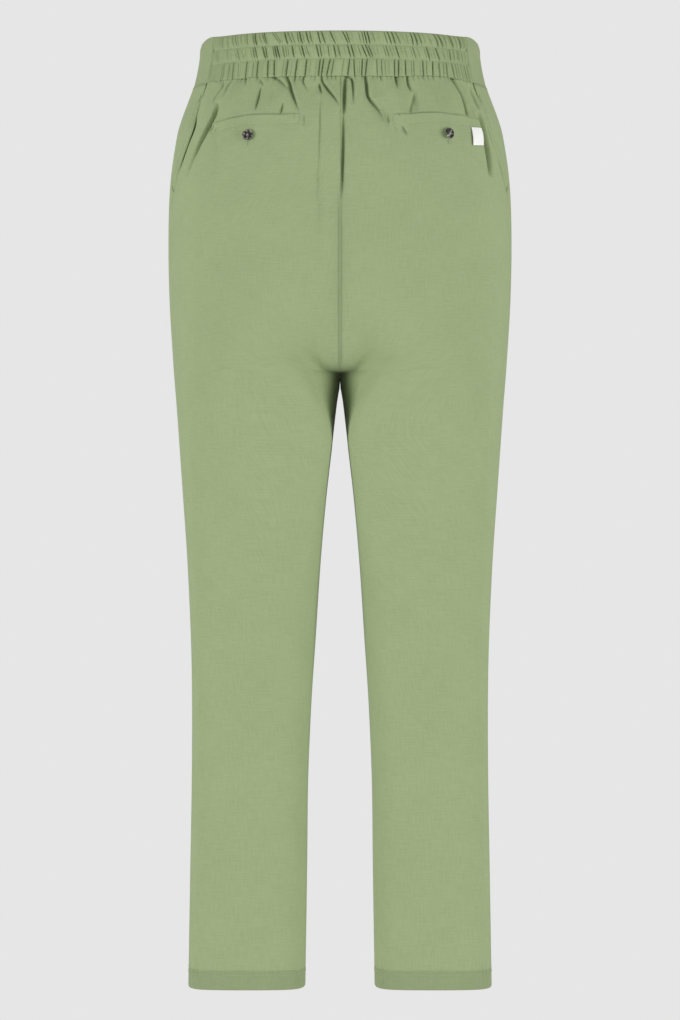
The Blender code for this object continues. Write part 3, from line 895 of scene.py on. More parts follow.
def front_relief(turn, drop):
    """Lift of a front panel; the left and right ones mirror each other."""
    across = np.abs(turn)
    to_side = far_from(section_at("seam", drop), across, drop)
    to_centre = far_from(180, across, drop)
    lift = crease_lift(across, drop, FRONT_CREASES)
    lift -= side_roll(turn, drop) * bell(to_side, SIDE_REACH)
    lift -= centre_roll(drop) * bell(to_centre, SEAM_REACH)
    lift += foot_lift(drop) + hem_line(turn, drop)
    return lift


centre = np.full_like(PANEL_SEAMS, 180)
for side, edges in (("left", (centre, PANEL_SEAMS)), ("right", (-PANEL_SEAMS, -centre))):
    panel = cloth_grid("front_panel_" + side, FRONT_COLUMNS, len(PROFILE_DROPS) - 1,
                       place_panel(*edges, front_relief))
    thicken(panel)
    finish_piece(panel, LINEN, "cloth", "front_" + side)


# ---------------------------------------------------------------------------
# Waistband back. A folded casing with two rows of stitching through it, so that wide
# elastic gathers it in three channels of upright pleats.
# ---------------------------------------------------------------------------
Channel = namedtuple("Channel", "top foot puff hold pleats")
DEEP = 2.4
SLIGHT = 1.4
CHANNELS = (
    Channel(0.0000, 0.0148, 1.5, 0.0, (
        (50, 48.5, SLIGHT), (45, 43, SLIGHT), (35.5, 34, SLIGHT), (34.3, 33, DEEP),
        (31, 28.5, SLIGHT), (30.2, 28, DEEP), (26.5, 22.5, SLIGHT), (21.3, 19.6, DEEP),
        (20, 17.5, SLIGHT), (16.2, 15.2, SLIGHT), (15.3, 13.8, DEEP), (12.8, 11.3, DEEP),
        (11.4, 10, SLIGHT), (8.3, 7, DEEP), (7, 5.3, DEEP), (3.8, 1.5, DEEP),
        (-0.8, -3.2, DEEP), (-2.3, -3.8, SLIGHT), (-8, -9, SLIGHT), (-8.9, -10, DEEP),
        (-10, -11.2, DEEP), (-16.5, -18, SLIGHT), (-17.8, -19.6, DEEP), (-19.5, -21.2, DEEP),
        (-20.8, -23.3, SLIGHT), (-27.5, -28.7, DEEP), (-29, -30.7, DEEP),
        (-30.5, -32.8, SLIGHT), (-38.5, -41, DEEP), (-40.5, -43.7, DEEP), (-46.8, -50, DEEP),
        (-53.5, -55.5, DEEP))),
    Channel(0.0148, 0.0296, 1.4, 0.0, (
        (43.3, 41, SLIGHT), (35, 33.2, SLIGHT), (34, 32, SLIGHT), (30.5, 28.5, DEEP),
        (29, 27.8, SLIGHT), (26, 24.5, SLIGHT), (25.3, 23.7, DEEP), (24.3, 22.5, DEEP),
        (21.8, 20.5, SLIGHT), (18, 16.8, DEEP), (14.3, 12.8, DEEP), (8.7, 7.5, DEEP),
        (7.5, 6.5, SLIGHT), (4.5, 3.8, SLIGHT), (2.3, 1.3, DEEP), (0.8, -0.3, SLIGHT),
        (-2.7, -4, DEEP), (-4, -5.3, DEEP), (-8, -10, DEEP), (-9.3, -11.3, DEEP),
        (-10.2, -12.2, SLIGHT), (-17, -18.5, SLIGHT), (-21, -22.5, DEEP),
        (-28, -29.5, SLIGHT), (-34.5, -36, DEEP), (-39, -41, DEEP), (-47, -47.3, SLIGHT))),
    Channel(0.0296, 0.0490, 1.5, 0.75, (
        (50.8, 50.3, SLIGHT), (44.3, 43.2, DEEP), (37, 36.5, DEEP), (31.8, 31.3, DEEP),
        (27.3, 26.7, DEEP), (24.7, 24, DEEP), (19.1, 19.4, DEEP), (15.5, 16, DEEP),
        (12, 12.3, DEEP), (7, 7.5, DEEP), (5.8, 6.5, DEEP), (3.3, 4.6, DEEP),
        (2, 3, SLIGHT), (-3.7, -2.8, DEEP), (-5, -5.2, DEEP), (-8.3, -7.7, DEEP),
        (-10, -9, DEEP), (-13.5, -13.3, SLIGHT), (-15.2, -15, SLIGHT), (-20.3, -19.8, DEEP),
        (-22, -21.2, DEEP), (-24.7, -24.2, DEEP), (-32.3, -31.7, DEEP), (-37, -36, DEEP),
        (-40, -39.5, SLIGHT), (-44, -43.3, SLIGHT), (-47.3, -47.3, SLIGHT))),
)
BAND_MIDDLE = 0.024
BAND_END = section_at("seam", np.array([BAND_MIDDLE]))[0]
BAND_STOPS = 1201

band_turns = np.linspace(-BAND_END, BAND_END, BAND_STOPS)
band_arc = lengths_along(form(band_turns, BAND_MIDDLE)) / MM
band_arc -= band_arc[-1] / 2


def arc_at(turn):
    """Millimetres of band round from the centre back."""
    return np.interp(turn, band_turns, band_arc)


FAINT_PLEATS = 66
FAINT_DEPTH_MM = (0.35, 1.05)
FAINT_PLACE = (0.1, 0.9)
FAINT_CLEARANCE = 1.0
FAINT_LEAN = (0.6, 1.3)


def all_pleats(channel, rng):
    """A channel's main pleats with fainter ones put between them, sorted round the band."""
    pleats = list(channel.pleats)
    for number in range(FAINT_PLEATS):
        top = BAND_END * (1 - 2 * (number + rng.uniform(*FAINT_PLACE)) / FAINT_PLEATS)
        near = min(channel.pleats, key=lambda pleat: abs(pleat[0] - top))
        if abs(near[0] - top) > FAINT_CLEARANCE:
            lean = (near[1] - near[0]) * rng.uniform(*FAINT_LEAN)
            pleats.append((top, top + lean, rng.uniform(*FAINT_DEPTH_MM)))
    return sorted(pleats)


PLEAT_REACH_MM = 0.54
RIDGE_MM = 0.35
PUFF_POWER = 4
SLOPE_SHARE = 0.22
SHOULDER_MM = 1.6
CREST_SHARE = 0.5
CREST_REACHES = 2.2
END_FADE_MM = 3.0


def pleated(channel, turn, drop, rng):
    """Lift of the gathered casing inside one channel, in metres. The cloth slopes gently
    into each pleat from the left, and stands up as a crest on the pleat's right."""
    level = ramp(drop, channel.top, channel.foot)
    x = arc_at(turn)
    slit = np.zeros_like(x)
    slope = np.zeros_like(x)
    crest = np.zeros_like(x)
    ridge = np.full_like(x, rng.uniform(-RIDGE_MM, RIDGE_MM))
    for top, foot, depth in all_pleats(channel, rng):
        past = x - arc_at(between(top, foot, level))
        away = past / PLEAT_REACH_MM
        slit = np.maximum(slit, depth * bell(away, 1))
        slope = np.maximum(slope, SLOPE_SHARE * depth * bell(np.abs(past), SHOULDER_MM, 1)
                           * (past > 0))
        crest = np.maximum(crest, CREST_SHARE * depth * bell(away + CREST_REACHES, 1))
        ridge = np.where(past > 0, rng.uniform(-RIDGE_MM, RIDGE_MM), ridge)
    puff = 1 - np.abs(2 * level - 1) ** PUFF_POWER
    puff += channel.hold * (1 - puff) * (level > 0.5)
    ends = 1 - bell(band_arc[-1] - np.abs(x), END_FADE_MM)
    return MM * puff * (channel.puff + ends * (ridge + crest - slit - slope))


PLEAT_SEED = 11
END_ROLL = 0.0011
END_REACH = 0.0012


def band_relief(turn, drop):
    """Lift of the gathered band's face, with a groove along each row of stitching."""
    rng = np.random.default_rng(PLEAT_SEED)
    lift = np.zeros_like(turn)
    for channel in CHANNELS:
        inside = (drop >= channel.top) & (drop <= channel.foot)
        lift = np.where(inside, pleated(channel, turn, drop, rng), lift)
    to_end = (band_arc[-1] - np.abs(arc_at(turn))) * MM
    return lift - END_ROLL * bell(to_end, END_REACH)


BAND_THICKNESS = 0.0026
BAND_FACE_ROWS = 56
BAND_ROUND_ROWS = 5
BAND_BACK_ROWS = 12
BACK_SHARE = -0.3


def band_profile():
    """The band's section as drop, lift and how much of the face's relief it has: up its
    face, over the fold at the top, down its back and across its foot."""
    radius = BAND_THICKNESS / 2
    face = np.linspace(BAND_FOOT, radius, BAND_FACE_ROWS, endpoint=False)
    bend = np.linspace(0, np.pi, BAND_ROUND_ROWS, endpoint=False)
    back = np.linspace(radius, BAND_FOOT, BAND_BACK_ROWS)
    drops = np.concatenate([face, radius * (1 - np.sin(bend)), back, [BAND_FOOT]])
    lifts = np.concatenate([0 * face, -radius * (1 - np.cos(bend)),
                            0 * back - BAND_THICKNESS, [0.0]])
    shares = np.concatenate([0 * face + 1, (1 + np.cos(bend)) / 2,
                             0 * back + BACK_SHARE, [1.0]])
    return drops, lifts, shares


BAND_DEGREE_MM = 2.5
# Painted shade: from the first turn to the second the band's colour darkens to the casing's ply
# count.
END_SHADE_FROM = 36
END_SHADE_TO = 52
MIDDLE_SHADE_PLIES = 1.0
END_SHADE_PLIES = 1.47


def place_band(start, end, relief):
    """The place function of a band whose section is carried round from start to end. Its
    ply count, and so its painted shade, is greater towards its ends and in front."""
    drops, lifts, shares = band_profile()
    lengths = lengths_along(np.stack([drops, lifts], axis=1))

    def place(across, down):
        drop = row_value(drops, down)
        turn = between(start, end, across)
        turn = np.where(turn < -180, turn + 360, turn)
        lift = row_value(lifts, down) + row_value(shares, down) * relief(turn, drop)
        cloth = np.stack([across * abs(end - start) * BAND_DEGREE_MM * MM,
                          row_value(lengths, down)], axis=1)
        # Painted shade: the band is darker towards its ends and all round the front.
        ply_shade = between(MIDDLE_SHADE_PLIES, END_SHADE_PLIES, ramp(np.abs(turn), END_SHADE_FROM, END_SHADE_TO))
        return draped(turn, risen(turn, drop), lift), cloth, ply_shade

    return place, len(drops) - 1


def close_tube(piece):
    """Join a band's last row to its first and cap its two ends."""
    mesh = bmesh.new()
    mesh.from_mesh(piece.data)
    bmesh.ops.remove_doubles(mesh, verts=mesh.verts[:], dist=1e-6)
    rims = [edge for edge in mesh.edges if edge.is_boundary]
    bmesh.ops.holes_fill(mesh, edges=rims, sides=0)
    if mesh.calc_volume(signed=True) < 0:
        bmesh.ops.reverse_faces(mesh, faces=mesh.faces[:])
    mesh.to_mesh(piece.data)
    mesh.free()


BAND_COLUMNS = 720
BAND_GAP = 0.03

place, rows = place_band(BAND_END - BAND_GAP, BAND_GAP - BAND_END, band_relief)
band = cloth_grid("waistband_back_gathered", BAND_COLUMNS, rows, place)
close_tube(band)
finish_piece(band, LINEN, "cloth", "waistband_back")


# ---------------------------------------------------------------------------
# Waistband front. The flat part of the band, one folded strip round the front.
# ---------------------------------------------------------------------------
FLAT_BAND_COLUMNS = 240
FLAT_STAND = 0.0003
FLAT_SWELL = 0.0005


def flat_band_relief(turn, drop):
    """Lift of the flat band: a slight swell over its fold, and a roll in at its ends."""
    swell = FLAT_STAND + FLAT_SWELL * np.sin(np.pi * np.clip(drop / BAND_FOOT, 0, 1))
    to_end = round_hips(np.abs(turn) - BAND_END)
    return swell - END_ROLL * bell(to_end, END_REACH)


place, rows = place_band(-BAND_END - BAND_GAP, BAND_END + BAND_GAP - 360, flat_band_relief)
flat_band = cloth_grid("waistband_front_flat", FLAT_BAND_COLUMNS, rows, place)
close_tube(flat_band)
finish_piece(flat_band, LINEN, "cloth", "waistband_front")


# ---------------------------------------------------------------------------
# Pocket welts. A folded strip of the panel cloth stands in each back pocket's mouth,
# seamed to the panel along its lower edge and at its two ends.
# ---------------------------------------------------------------------------
WELT_HEIGHT = 0.0100
WELT_START = 0.0004
WELT_STAND = 0.0010
WELT_FOOT_STAND = 0.00015
WELT_BACK_STAND = 0.0001
WELT_END_REACH = 0.0020
WELT_END_FLAT = 0.6
WELT_CLOTH = 0.09
WELT_COLUMNS = 150
WELT_FACE_ROWS = 14
WELT_BACK_ROWS = 3


def mouth_drop(side, turn):
    """Where a back pocket's mouth lies, in metres below the band's top."""
    path = smooth_path(POCKETS[side].mouth)
    order = np.argsort(path[:, 0])
    return np.interp(turn, path[order, 0], path[order, 1]) * MM


def welt_face(side, turn, below):
    """Lift of a welt's face, from how far it is below the mouth."""
    share = np.clip((below - WELT_START) / WELT_HEIGHT, 0, 1)
    ends = [abs(knot[0]) for knot in POCKETS[side].mouth]
    from_end = np.minimum(np.abs(turn) - min(ends), max(ends) - np.abs(turn))
    flat = WELT_END_FLAT * bell(round_hips(from_end), WELT_END_REACH)
    stand = between(WELT_FOOT_STAND, WELT_STAND, np.sqrt(1 - share))
    return back_drape(side, turn, mouth_drop(side, turn) + below) + stand * (1 - flat)


def place_welt(side):
    """The place function of a welt whose section is carried along the mouth."""
    face = np.linspace(1, 0, WELT_FACE_ROWS)
    back = np.linspace(0, 1, WELT_BACK_ROWS)
    shares = np.concatenate([face, back, [1.0]])
    fronts = np.concatenate([0 * face + 1, 0 * back, [1.0]])
    ends = sorted((POCKETS[side].mouth[0][0], POCKETS[side].mouth[-1][0]), reverse=True)

    def place(across, down):
        turn = between(*ends, across)
        below = WELT_START + WELT_HEIGHT * row_value(shares, down)
        drop = mouth_drop(side, turn) + below
        behind = back_drape(side, turn, drop) + WELT_BACK_STAND
        lift = between(behind, welt_face(side, turn, below), row_value(fronts, down))
        cloth = np.stack([WELT_CLOTH * across, below], axis=1)
        return draped(turn, drop, lift), cloth, 1

    return place, len(shares) - 1


for side in SIGN:
    place, rows = place_welt(side)
    welt = cloth_grid("back_pocket_welt_" + side, WELT_COLUMNS, rows, place)
    close_tube(welt)
    finish_piece(welt, LINEN, "cloth", "welt_" + side)


# ---------------------------------------------------------------------------
# Stitching. Core-spun polyester thread, dyed to the cloth: lockstitch rows through the
# band's channels, round the pockets and hems, and close bar tacks at the pocket ends.
# ---------------------------------------------------------------------------
def polyester_thread(name, dark, light):
    """Spun polyester: softly glossy, its colour a little lighter where its strands stand up, a
    painted highlight on the raised strands.
    """
    material, tree = new_material(name)
    place = add_node(tree, "ShaderNodeTexCoord")
    ply_rise_and_highlight = add_node(tree, "ShaderNodeTexNoise", inputs={
        "Vector": place.outputs["Object"], "Scale": 600.0, "Detail": 1.0})
    # Painted highlight: the colour is lighter where the bump stands up.
    colour = add_node(tree, "ShaderNodeMix", settings={"data_type": "RGBA"}, inputs={
        "Factor": ply_rise_and_highlight.outputs["Fac"], "A": linear(dark), "B": linear(light)})
    ply = add_node(tree, "ShaderNodeBump", inputs={
        "Height": ply_rise_and_highlight.outputs["Fac"], "Strength": 0.3, "Distance": 0.0001})
    shader = add_node(tree, "ShaderNodeBsdfPrincipled", inputs={
        "Base Color": colour.outputs["Result"], "Roughness": 0.6, "IOR": 1.5,
        "Normal": ply.outputs["Normal"]})
    add_node(tree, "ShaderNodeOutputMaterial", inputs={"Surface": shader.outputs["BSDF"]})
    return material


THREAD = polyester_thread("sage_polyester_thread", "#9DAD84", "#B3C39B")


def sewn_points(path, relief, pitch):
    """Points at an even pitch along a sewn line, with the line's direction and the way
    out of the cloth at each. A path's points are turn and drop in degrees and mm."""
    knots = smooth_path(path)
    turn, drop = knots[:, 0], knots[:, 1] * MM
    points = draped(turn, drop, relief(turn, drop))
    run = lengths_along(points)
    count = max(int(run[-1] / pitch), 1)
    stops = (np.arange(count) + 0.5) * run[-1] / count
    turn, drop = np.interp(stops, run, turn), np.interp(stops, run, drop)
    points = draped(turn, drop, relief(turn, drop))
    outward = form_normal(turn, drop)
    along = np.stack([np.gradient(points[:, axis]) for axis in range(3)], axis=1)
    along -= (along * outward).sum(axis=1)[:, None] * outward
    along /= np.linalg.norm(along, axis=1)[:, None]
    return points, along, outward


def add_piece(name, mesh, material, slot, *nodes):
    """Keep a bmesh as a finished piece."""
    piece = mesh_object(name, mesh)
    piece.data.shade_smooth()
    finish_piece(piece, material, slot, *nodes)
    return piece


STITCH_PITCH = 0.0030
STITCH_LENGTH = 0.0024
TACK_PITCH = 0.00050
TACK_WIDTH = 0.0017
THREAD_WIDTH = 0.00052
THREAD_RISE = 0.00020
STITCH_SIDES = 6
STITCH_RINGS = 4


def sew(name, runs, tacks=()):
    """One piece from rows of stitches, and from tacks, whose threads lie close across
    their line. Each run is a path and the lift of the cloth that it is sewn to."""
    mesh = bmesh.new()
    for paths, pitch, length, crosswise in ((runs, STITCH_PITCH, STITCH_LENGTH, False),
                                            (tacks, TACK_PITCH, TACK_WIDTH, True)):
        for path, relief in paths:
            points, alongs, outwards = sewn_points(path, relief, pitch)
            for point, along, outward in zip(points, alongs, outwards):
                across = np.cross(outward, along)
                if crosswise:
                    along, across = across, -along
                centre = point + outward * THREAD_RISE
                axes = np.stack([along * length, across * THREAD_WIDTH,
                                 outward * THREAD_WIDTH], axis=1) / 2
                matrix = np.eye(4)
                matrix[:3, :3] = axes
                matrix[:3, 3] = centre
                bmesh.ops.create_uvsphere(mesh, u_segments=STITCH_SIDES,
                                          v_segments=STITCH_RINGS, radius=1,
                                          matrix=Matrix(matrix.tolist()))
    add_piece(name, mesh, THREAD, "cloth")


def line(turns, drops, count):
    """A path of count points between two corners, in turn and drop."""
    return [(between(*turns, share), between(*drops, share))
            for share in np.linspace(0, 1, count)]


def upright(turn, top, foot, count):
    """A path straight down the cloth."""
    return line((turn, turn), (top, foot), count)


def welt_relief(side, turn, drop):
    """Lift of a welt's face, at drops below the band's top."""
    return welt_face(side, turn, drop - mouth_drop(side, turn))


# Where the rows run: millimetres below the edge that they follow, degrees round from a
# seam or from the band's end, and a share of the welt's length in from its ends.
CHANNEL_ROWS_MM = (14.8, 29.6)
ROW_FROM_BAND_END = 1.0
WELT_ROW_MM = 8.6
POCKET_ROW_MM = 12.4
ROW_FROM_WELT_END = 0.03
TACK_ABOVE_MM = 0.8
TACK_BELOW_MM = 12.2
BAND_END_ROW = 1.3
BAND_END_RETURN = 7.5
BAND_END_TOP_MM = 2
BAND_END_FOOT_MM = 46
BAND_FOOT_ROW_MM = 46.6
HEM_ROWS_APART_MM = 4.4
ROW_FROM_SEAM = 1
SIDE_ROW_MM = np.array([66, 80, 95, 110, 125, 140, 152, 162])
SIDE_ROW_FROM_SEAM = 2.4
SIDE_TACKS_MM = (66, 160)
SIDE_TACK_HALF_MM = 4
SIDE_TACK_FROM_SEAM = 1.2

for number, drop in enumerate(CHANNEL_ROWS_MM, start=1):
    row_end = BAND_END - ROW_FROM_BAND_END
    sew("band_stitch_row_%d" % number,
        [(line((row_end, -row_end), (drop, drop), count=41), band_relief)])

for side, sign in SIGN.items():
    on_back = partial(back_relief, side)
    inner, outer = POCKETS[side].mouth[0], POCKETS[side].mouth[-1]
    shares = np.linspace(ROW_FROM_WELT_END, 1 - ROW_FROM_WELT_END, 12)
    turns = between(inner[0], outer[0], shares)
    mouth_mm = mouth_drop(side, turns) / MM
    sew("back_pocket_stitch_" + side,
        [([*zip(turns, mouth_mm + WELT_ROW_MM)], partial(welt_relief, side)),
         ([*zip(turns, mouth_mm + POCKET_ROW_MM)], on_back)],
        [(upright(turn, drop - TACK_ABOVE_MM, drop + TACK_BELOW_MM, count=4), on_back)
         for turn, drop in (inner, outer)])

    end = sign * (BAND_END - BAND_END_ROW)
    turned_back = sign * (BAND_END - BAND_END_RETURN)
    sew("band_end_stitch_" + side,
        [(upright(end, BAND_END_TOP_MM, BAND_END_FOOT_MM, count=5), band_relief),
         (line((end, turned_back), (BAND_FOOT_ROW_MM, BAND_FOOT_ROW_MM), count=5),
          band_relief)])

    hem_mm = (HEM_DROP - HEM_HEIGHT) / MM
    sew("hem_stitch_" + side,
        [(line((sign * (first + ROW_FROM_SEAM), sign * (last - ROW_FROM_SEAM)),
               (drop, drop), count=17), relief)
         for drop in (hem_mm, hem_mm + HEM_ROWS_APART_MM)
         for first, last, relief in ((0, 90, on_back), (90, 180, front_relief))])

    row_turns = sign * (section_at("seam", SIDE_ROW_MM * MM) + SIDE_ROW_FROM_SEAM)
    tacks = []
    for drop in SIDE_TACKS_MM:
        turn = sign * (section_at("seam", np.array([drop * MM]))[0] + SIDE_TACK_FROM_SEAM)
        tack = upright(turn, drop - SIDE_TACK_HALF_MM, drop + SIDE_TACK_HALF_MM, count=3)
        tacks.append((tack, front_relief))
    sew("side_pocket_stitch_" + side, [([*zip(row_turns, SIDE_ROW_MM)], front_relief)], tacks)


# ---------------------------------------------------------------------------
# Buttons and buttonholes. Dark marbled horn-look polyester, turned with a raised rim
# round a dished middle and four holes, sewn on with a cross of thread. Each is done up
# through an upright buttonhole in the panel below the welt.
# ---------------------------------------------------------------------------
def horn_polyester():
    """Cast polyester with dark brown and grey swirls, the palest of them partly a painted
    highlight: polished, so its rim shines.
    """
    material, tree = new_material("horn_polyester")
    place = add_node(tree, "ShaderNodeTexCoord")
    swirl = add_node(tree, "ShaderNodeTexNoise", inputs={
        "Vector": place.outputs["Object"], "Scale": 260.0, "Detail": 3.0,
        "Distortion": 1.4})
    marbling_and_highlight = add_node(tree, "ShaderNodeValToRGB", inputs={"Fac": swirl.outputs["Fac"]})
    # The palest stop is partly a painted highlight.
    for number, (position, colour) in enumerate((
            (0.37, "#0E0F0B"), (0.47, "#1B1C16"), (0.56, "#47453D"), (0.63, "#B4B1AA"))):
        stops = marbling_and_highlight.color_ramp.elements
        stop = stops[number] if number < 2 else stops.new(position)
        stop.position = position
        stop.color = linear(colour)
    shader = add_node(tree, "ShaderNodeBsdfPrincipled", inputs={
        "Base Color": marbling_and_highlight.outputs["Color"], "Roughness": 0.16, "IOR": 1.6})
    add_node(tree, "ShaderNodeOutputMaterial", inputs={"Surface": shader.outputs["BSDF"]})
    return material


HORN = horn_polyester()
BUTTON_THREAD = polyester_thread("grey_polyester_thread", "#9A968C", "#B9B5AB")


BUTTON_SIDES = 40
BUTTON_RADIUS = 0.00575
BUTTON_TOP = 0.0029
RIM_INNER_RADIUS = 0.0037


def turned_rim(mesh):
    """The button's rim, a rounded section spun round its axis."""
    section = ((RIM_INNER_RADIUS, 0.0004), (0.0049, 0.0002), (0.0055, 0.0007),
               (BUTTON_RADIUS, 0.0014), (0.0056, 0.0022), (0.0051, 0.0028),
               (0.0046, BUTTON_TOP), (0.0041, 0.0026), (RIM_INNER_RADIUS, 0.0019))
    verts = [mesh.verts.new((radius, 0, height)) for radius, height in section]
    edges = [mesh.edges.new(pair) for pair in zip(verts, verts[1:] + verts[:1])]
    bmesh.ops.spin(mesh, geom=verts + edges, cent=(0, 0, 0), axis=(0, 0, 1), dvec=(0, 0, 0),
                   angle=math.tau, steps=BUTTON_SIDES, use_merge=True, use_duplicate=False)


DISH_RADIUS = 0.0041
DISH_FLOOR = 0.0006
DISH_TOP = 0.0017
HOLE_RADIUS = 0.0007
HOLE_OUT = 0.00125
HOLE_SIDES = 10


def drilled_dish(mesh):
    """The button's middle, a plate with four holes, raised from its filled outline."""
    rings = [((0, 0), DISH_RADIUS, BUTTON_SIDES)]
    rings += [((HOLE_OUT * x, HOLE_OUT * y), HOLE_RADIUS, HOLE_SIDES)
              for x in (-1, 1) for y in (-1, 1)]
    edges = []
    for (x, y), radius, sides in rings:
        ring = bmesh.ops.create_circle(mesh, radius=radius, segments=sides,
                                       matrix=Matrix.Translation((x, y, DISH_FLOOR)))
        edges += {edge for vert in ring["verts"] for edge in vert.link_edges}
    filled = bmesh.ops.triangle_fill(mesh, use_beauty=True, use_dissolve=False, edges=edges)
    floor_faces = [item for item in filled["geom"] if isinstance(item, bmesh.types.BMFace)]
    raised = bmesh.ops.extrude_face_region(mesh, geom=floor_faces, use_keep_orig=True)
    tops = [item for item in raised["geom"] if isinstance(item, bmesh.types.BMVert)]
    bmesh.ops.translate(mesh, verts=tops, vec=(0, 0, DISH_TOP - DISH_FLOOR))


def outward_mesh(mesh):
    """Turn a closed mesh's faces outwards."""
    bmesh.ops.recalc_face_normals(mesh, faces=mesh.faces[:])
    if mesh.calc_volume(signed=True) < 0:
        bmesh.ops.reverse_faces(mesh, faces=mesh.faces[:])


BUTTON_STAND = 0.0008
BUTTON_BELOW_MOUTH = 0.0216
TILT_LIFT = 0.6


def standing_at(side):
    """A matrix that stands a piece on the panel at its button, its top up the garment. A
    tilted button is lifted by a share of what its low edge sinks."""
    turn = np.array([POCKETS[side].button])
    drop = mouth_drop(side, turn) + BUTTON_BELOW_MOUTH
    tilt = math.radians(POCKETS[side].tilt)
    stand = BUTTON_STAND + TILT_LIFT * BUTTON_RADIUS * math.sin(tilt)
    point = draped(turn, drop, back_relief(side, turn, drop) + stand)[0]
    outward = Vector(form_normal(turn, drop)[0])
    across = Vector((0, 0, 1)).cross(outward).normalized()
    upward = outward.cross(across)
    turned = Matrix((across, upward, outward)).transposed().to_4x4()
    return Matrix.Translation(point) @ turned @ Matrix.Rotation(tilt, 4, "Y")


CREASE_ANGLE = math.radians(40)
CROSS_TURNS = (45, -45)
CROSS_STEP = 0.00028
CROSS_RISE = 0.00015
CROSS_HALF = (HOLE_OUT * 1.55, 0.00017, 0.0004)
BUTTONHOLE_HALF_MM = 8.2
BUTTONHOLE_LOWER = 0.0015
BUTTONHOLE_HALF_WIDTH = 0.0011
POCKET_RADIUS = 0.165

for side in SIGN:
    stand = standing_at(side)
    mesh = bmesh.new()
    turned_rim(mesh)
    outward_mesh(mesh)
    dish = bmesh.new()
    drilled_dish(dish)
    outward_mesh(dish)
    dish_data = bpy.data.meshes.new("dish")
    dish.to_mesh(dish_data)
    dish.free()
    mesh.from_mesh(dish_data)
    bpy.data.meshes.remove(dish_data)
    bmesh.ops.transform(mesh, matrix=stand, verts=mesh.verts[:])
    button = add_piece("pocket_button_" + side, mesh, HORN, "button", "button_" + side)
    button.data.set_sharp_from_angle(angle=CREASE_ANGLE)

    threads = bmesh.new()
    for turn_to in CROSS_TURNS:
        for step in (-1, 0, 1):
            lay = (Matrix.Rotation(math.radians(turn_to), 4, "Z")
                   @ Matrix.Translation((0, step * CROSS_STEP, DISH_TOP + CROSS_RISE))
                   @ Matrix.Diagonal((*CROSS_HALF, 1)))
            bmesh.ops.create_uvsphere(threads, u_segments=10, v_segments=6, radius=1,
                                      matrix=stand @ lay)
    add_piece("button_thread_" + side, threads, BUTTON_THREAD, "cloth")

    turn = POCKETS[side].button
    middle = (mouth_drop(side, turn) + BUTTON_BELOW_MOUTH + BUTTONHOLE_LOWER) / MM
    top, foot = middle - BUTTONHOLE_HALF_MM, middle + BUTTONHOLE_HALF_MM
    near = math.degrees(BUTTONHOLE_HALF_WIDTH / POCKET_RADIUS)
    edges = [upright(turn - near, top, foot, count=5),
             upright(turn + near, top, foot, count=5),
             line((turn - near, turn + near), (top, top), count=3),
             line((turn - near, turn + near), (foot, foot), count=3)]
    sew("buttonhole_" + side, [], [(edge, partial(back_relief, side)) for edge in edges])


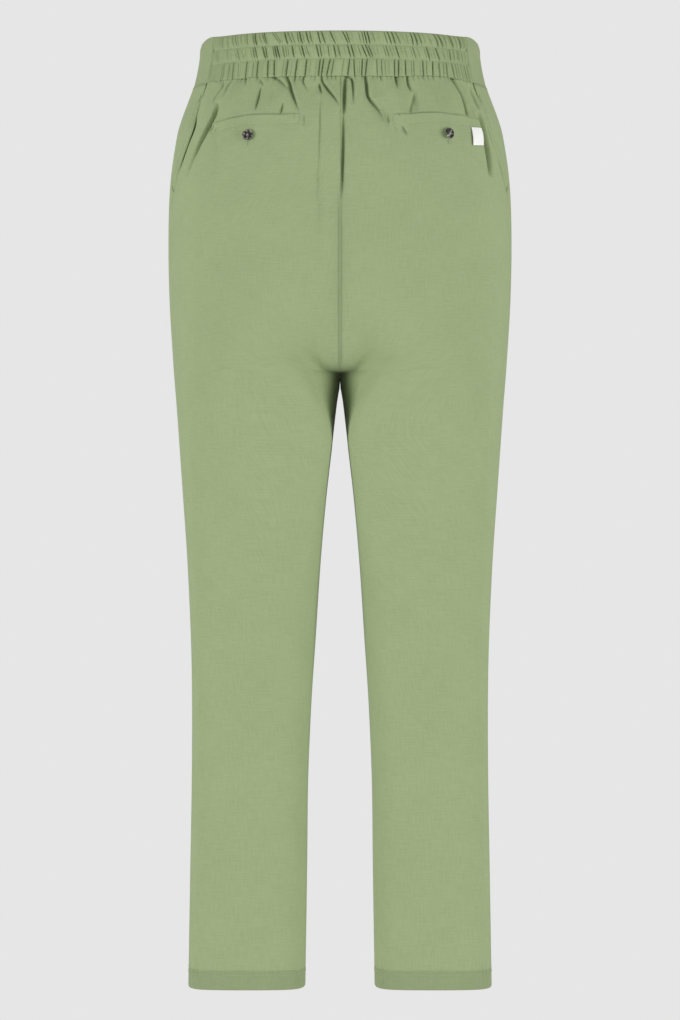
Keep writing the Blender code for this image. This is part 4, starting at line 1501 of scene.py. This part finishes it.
# ---------------------------------------------------------------------------
# Label. A loop of white satin-woven tape, bare, caught under the right welt's seam and
# folded up at its foot, so that it stands a little off the panel.
# ---------------------------------------------------------------------------
def woven_satin():
    """Satin-woven polyester tape: bright white, with a soft gloss along its fine cords."""
    material, tree = new_material("white_satin_tape")
    place = add_node(tree, "ShaderNodeUVMap", settings={"uv_map": "cloth"})
    cords = add_node(tree, "ShaderNodeMapping", inputs={
        "Vector": place.outputs["UV"], "Scale": (2600.0, 500.0, 1.0)})
    grain = add_node(tree, "ShaderNodeTexNoise", settings={"noise_dimensions": "2D"}, inputs={
        "Vector": cords.outputs["Vector"], "Scale": 1.0, "Detail": 1.0})
    colour = add_node(tree, "ShaderNodeMix", settings={"data_type": "RGBA"}, inputs={
        "Factor": grain.outputs["Fac"], "A": linear("#F6F5F0"), "B": linear("#FDFDFA")})
    bump = add_node(tree, "ShaderNodeBump", inputs={
        "Height": grain.outputs["Fac"], "Strength": 0.3, "Distance": 0.0001})
    shader = add_node(tree, "ShaderNodeBsdfPrincipled", inputs={
        "Base Color": colour.outputs["Result"], "Roughness": 0.45, "IOR": 1.5,
        "Normal": bump.outputs["Normal"]})
    add_node(tree, "ShaderNodeOutputMaterial", inputs={"Surface": shader.outputs["BSDF"]})
    return material


LABEL_WIDTH = 0.0165
LABEL_HEIGHT = 0.0190
LABEL_WALL = 0.0004
LABEL_STAND = 0.0006
LABEL_SWELL = 0.0011
SWELL_SPAN = 0.75
LABEL_COLUMNS = 28
LABEL_FACE_ROWS = 32
LABEL_BEND_ROWS = 4
Edge = namedtuple("Edge", "turns drops_mm")
LABEL_TOP = Edge((-48.4, -55.8), (100.8, 99.8))
LABEL_FOOT = Edge((-47.7, -54.2), (120.4, 118.8))


def place_label(across, down):
    """The place function of the label: down its face, round its foot and up behind."""
    face = np.linspace(0, 1, LABEL_FACE_ROWS)
    bend = np.linspace(0, np.pi, LABEL_BEND_ROWS + 2)[1:-1]
    back = np.linspace(1, 0, LABEL_FACE_ROWS)
    shares = np.concatenate([face, 1 + LABEL_WALL * np.sin(bend) / LABEL_HEIGHT, back, [0.0]])
    walls = np.concatenate([0 * face + 2, 1 + np.cos(bend), 0 * back, [2.0]]) * LABEL_WALL
    share = row_value(shares, down)
    turn = between(between(*LABEL_TOP.turns, across), between(*LABEL_FOOT.turns, across),
                   share)
    drop = MM * between(between(*LABEL_TOP.drops_mm, across),
                        between(*LABEL_FOOT.drops_mm, across), share)
    swell = LABEL_SWELL * np.sin(np.pi * np.clip(share, 0, 1) * SWELL_SPAN)
    lift = back_drape("right", turn, drop) + LABEL_STAND + swell + row_value(walls, down)
    cloth = np.stack([LABEL_WIDTH * across, LABEL_HEIGHT * share], axis=1)
    return draped(turn, drop, lift), cloth, 1


label = cloth_grid("pocket_label", LABEL_COLUMNS, 2 * LABEL_FACE_ROWS + LABEL_BEND_ROWS,
                   place_label)
close_tube(label)
finish_piece(label, woven_satin(), "label_tape", "label")
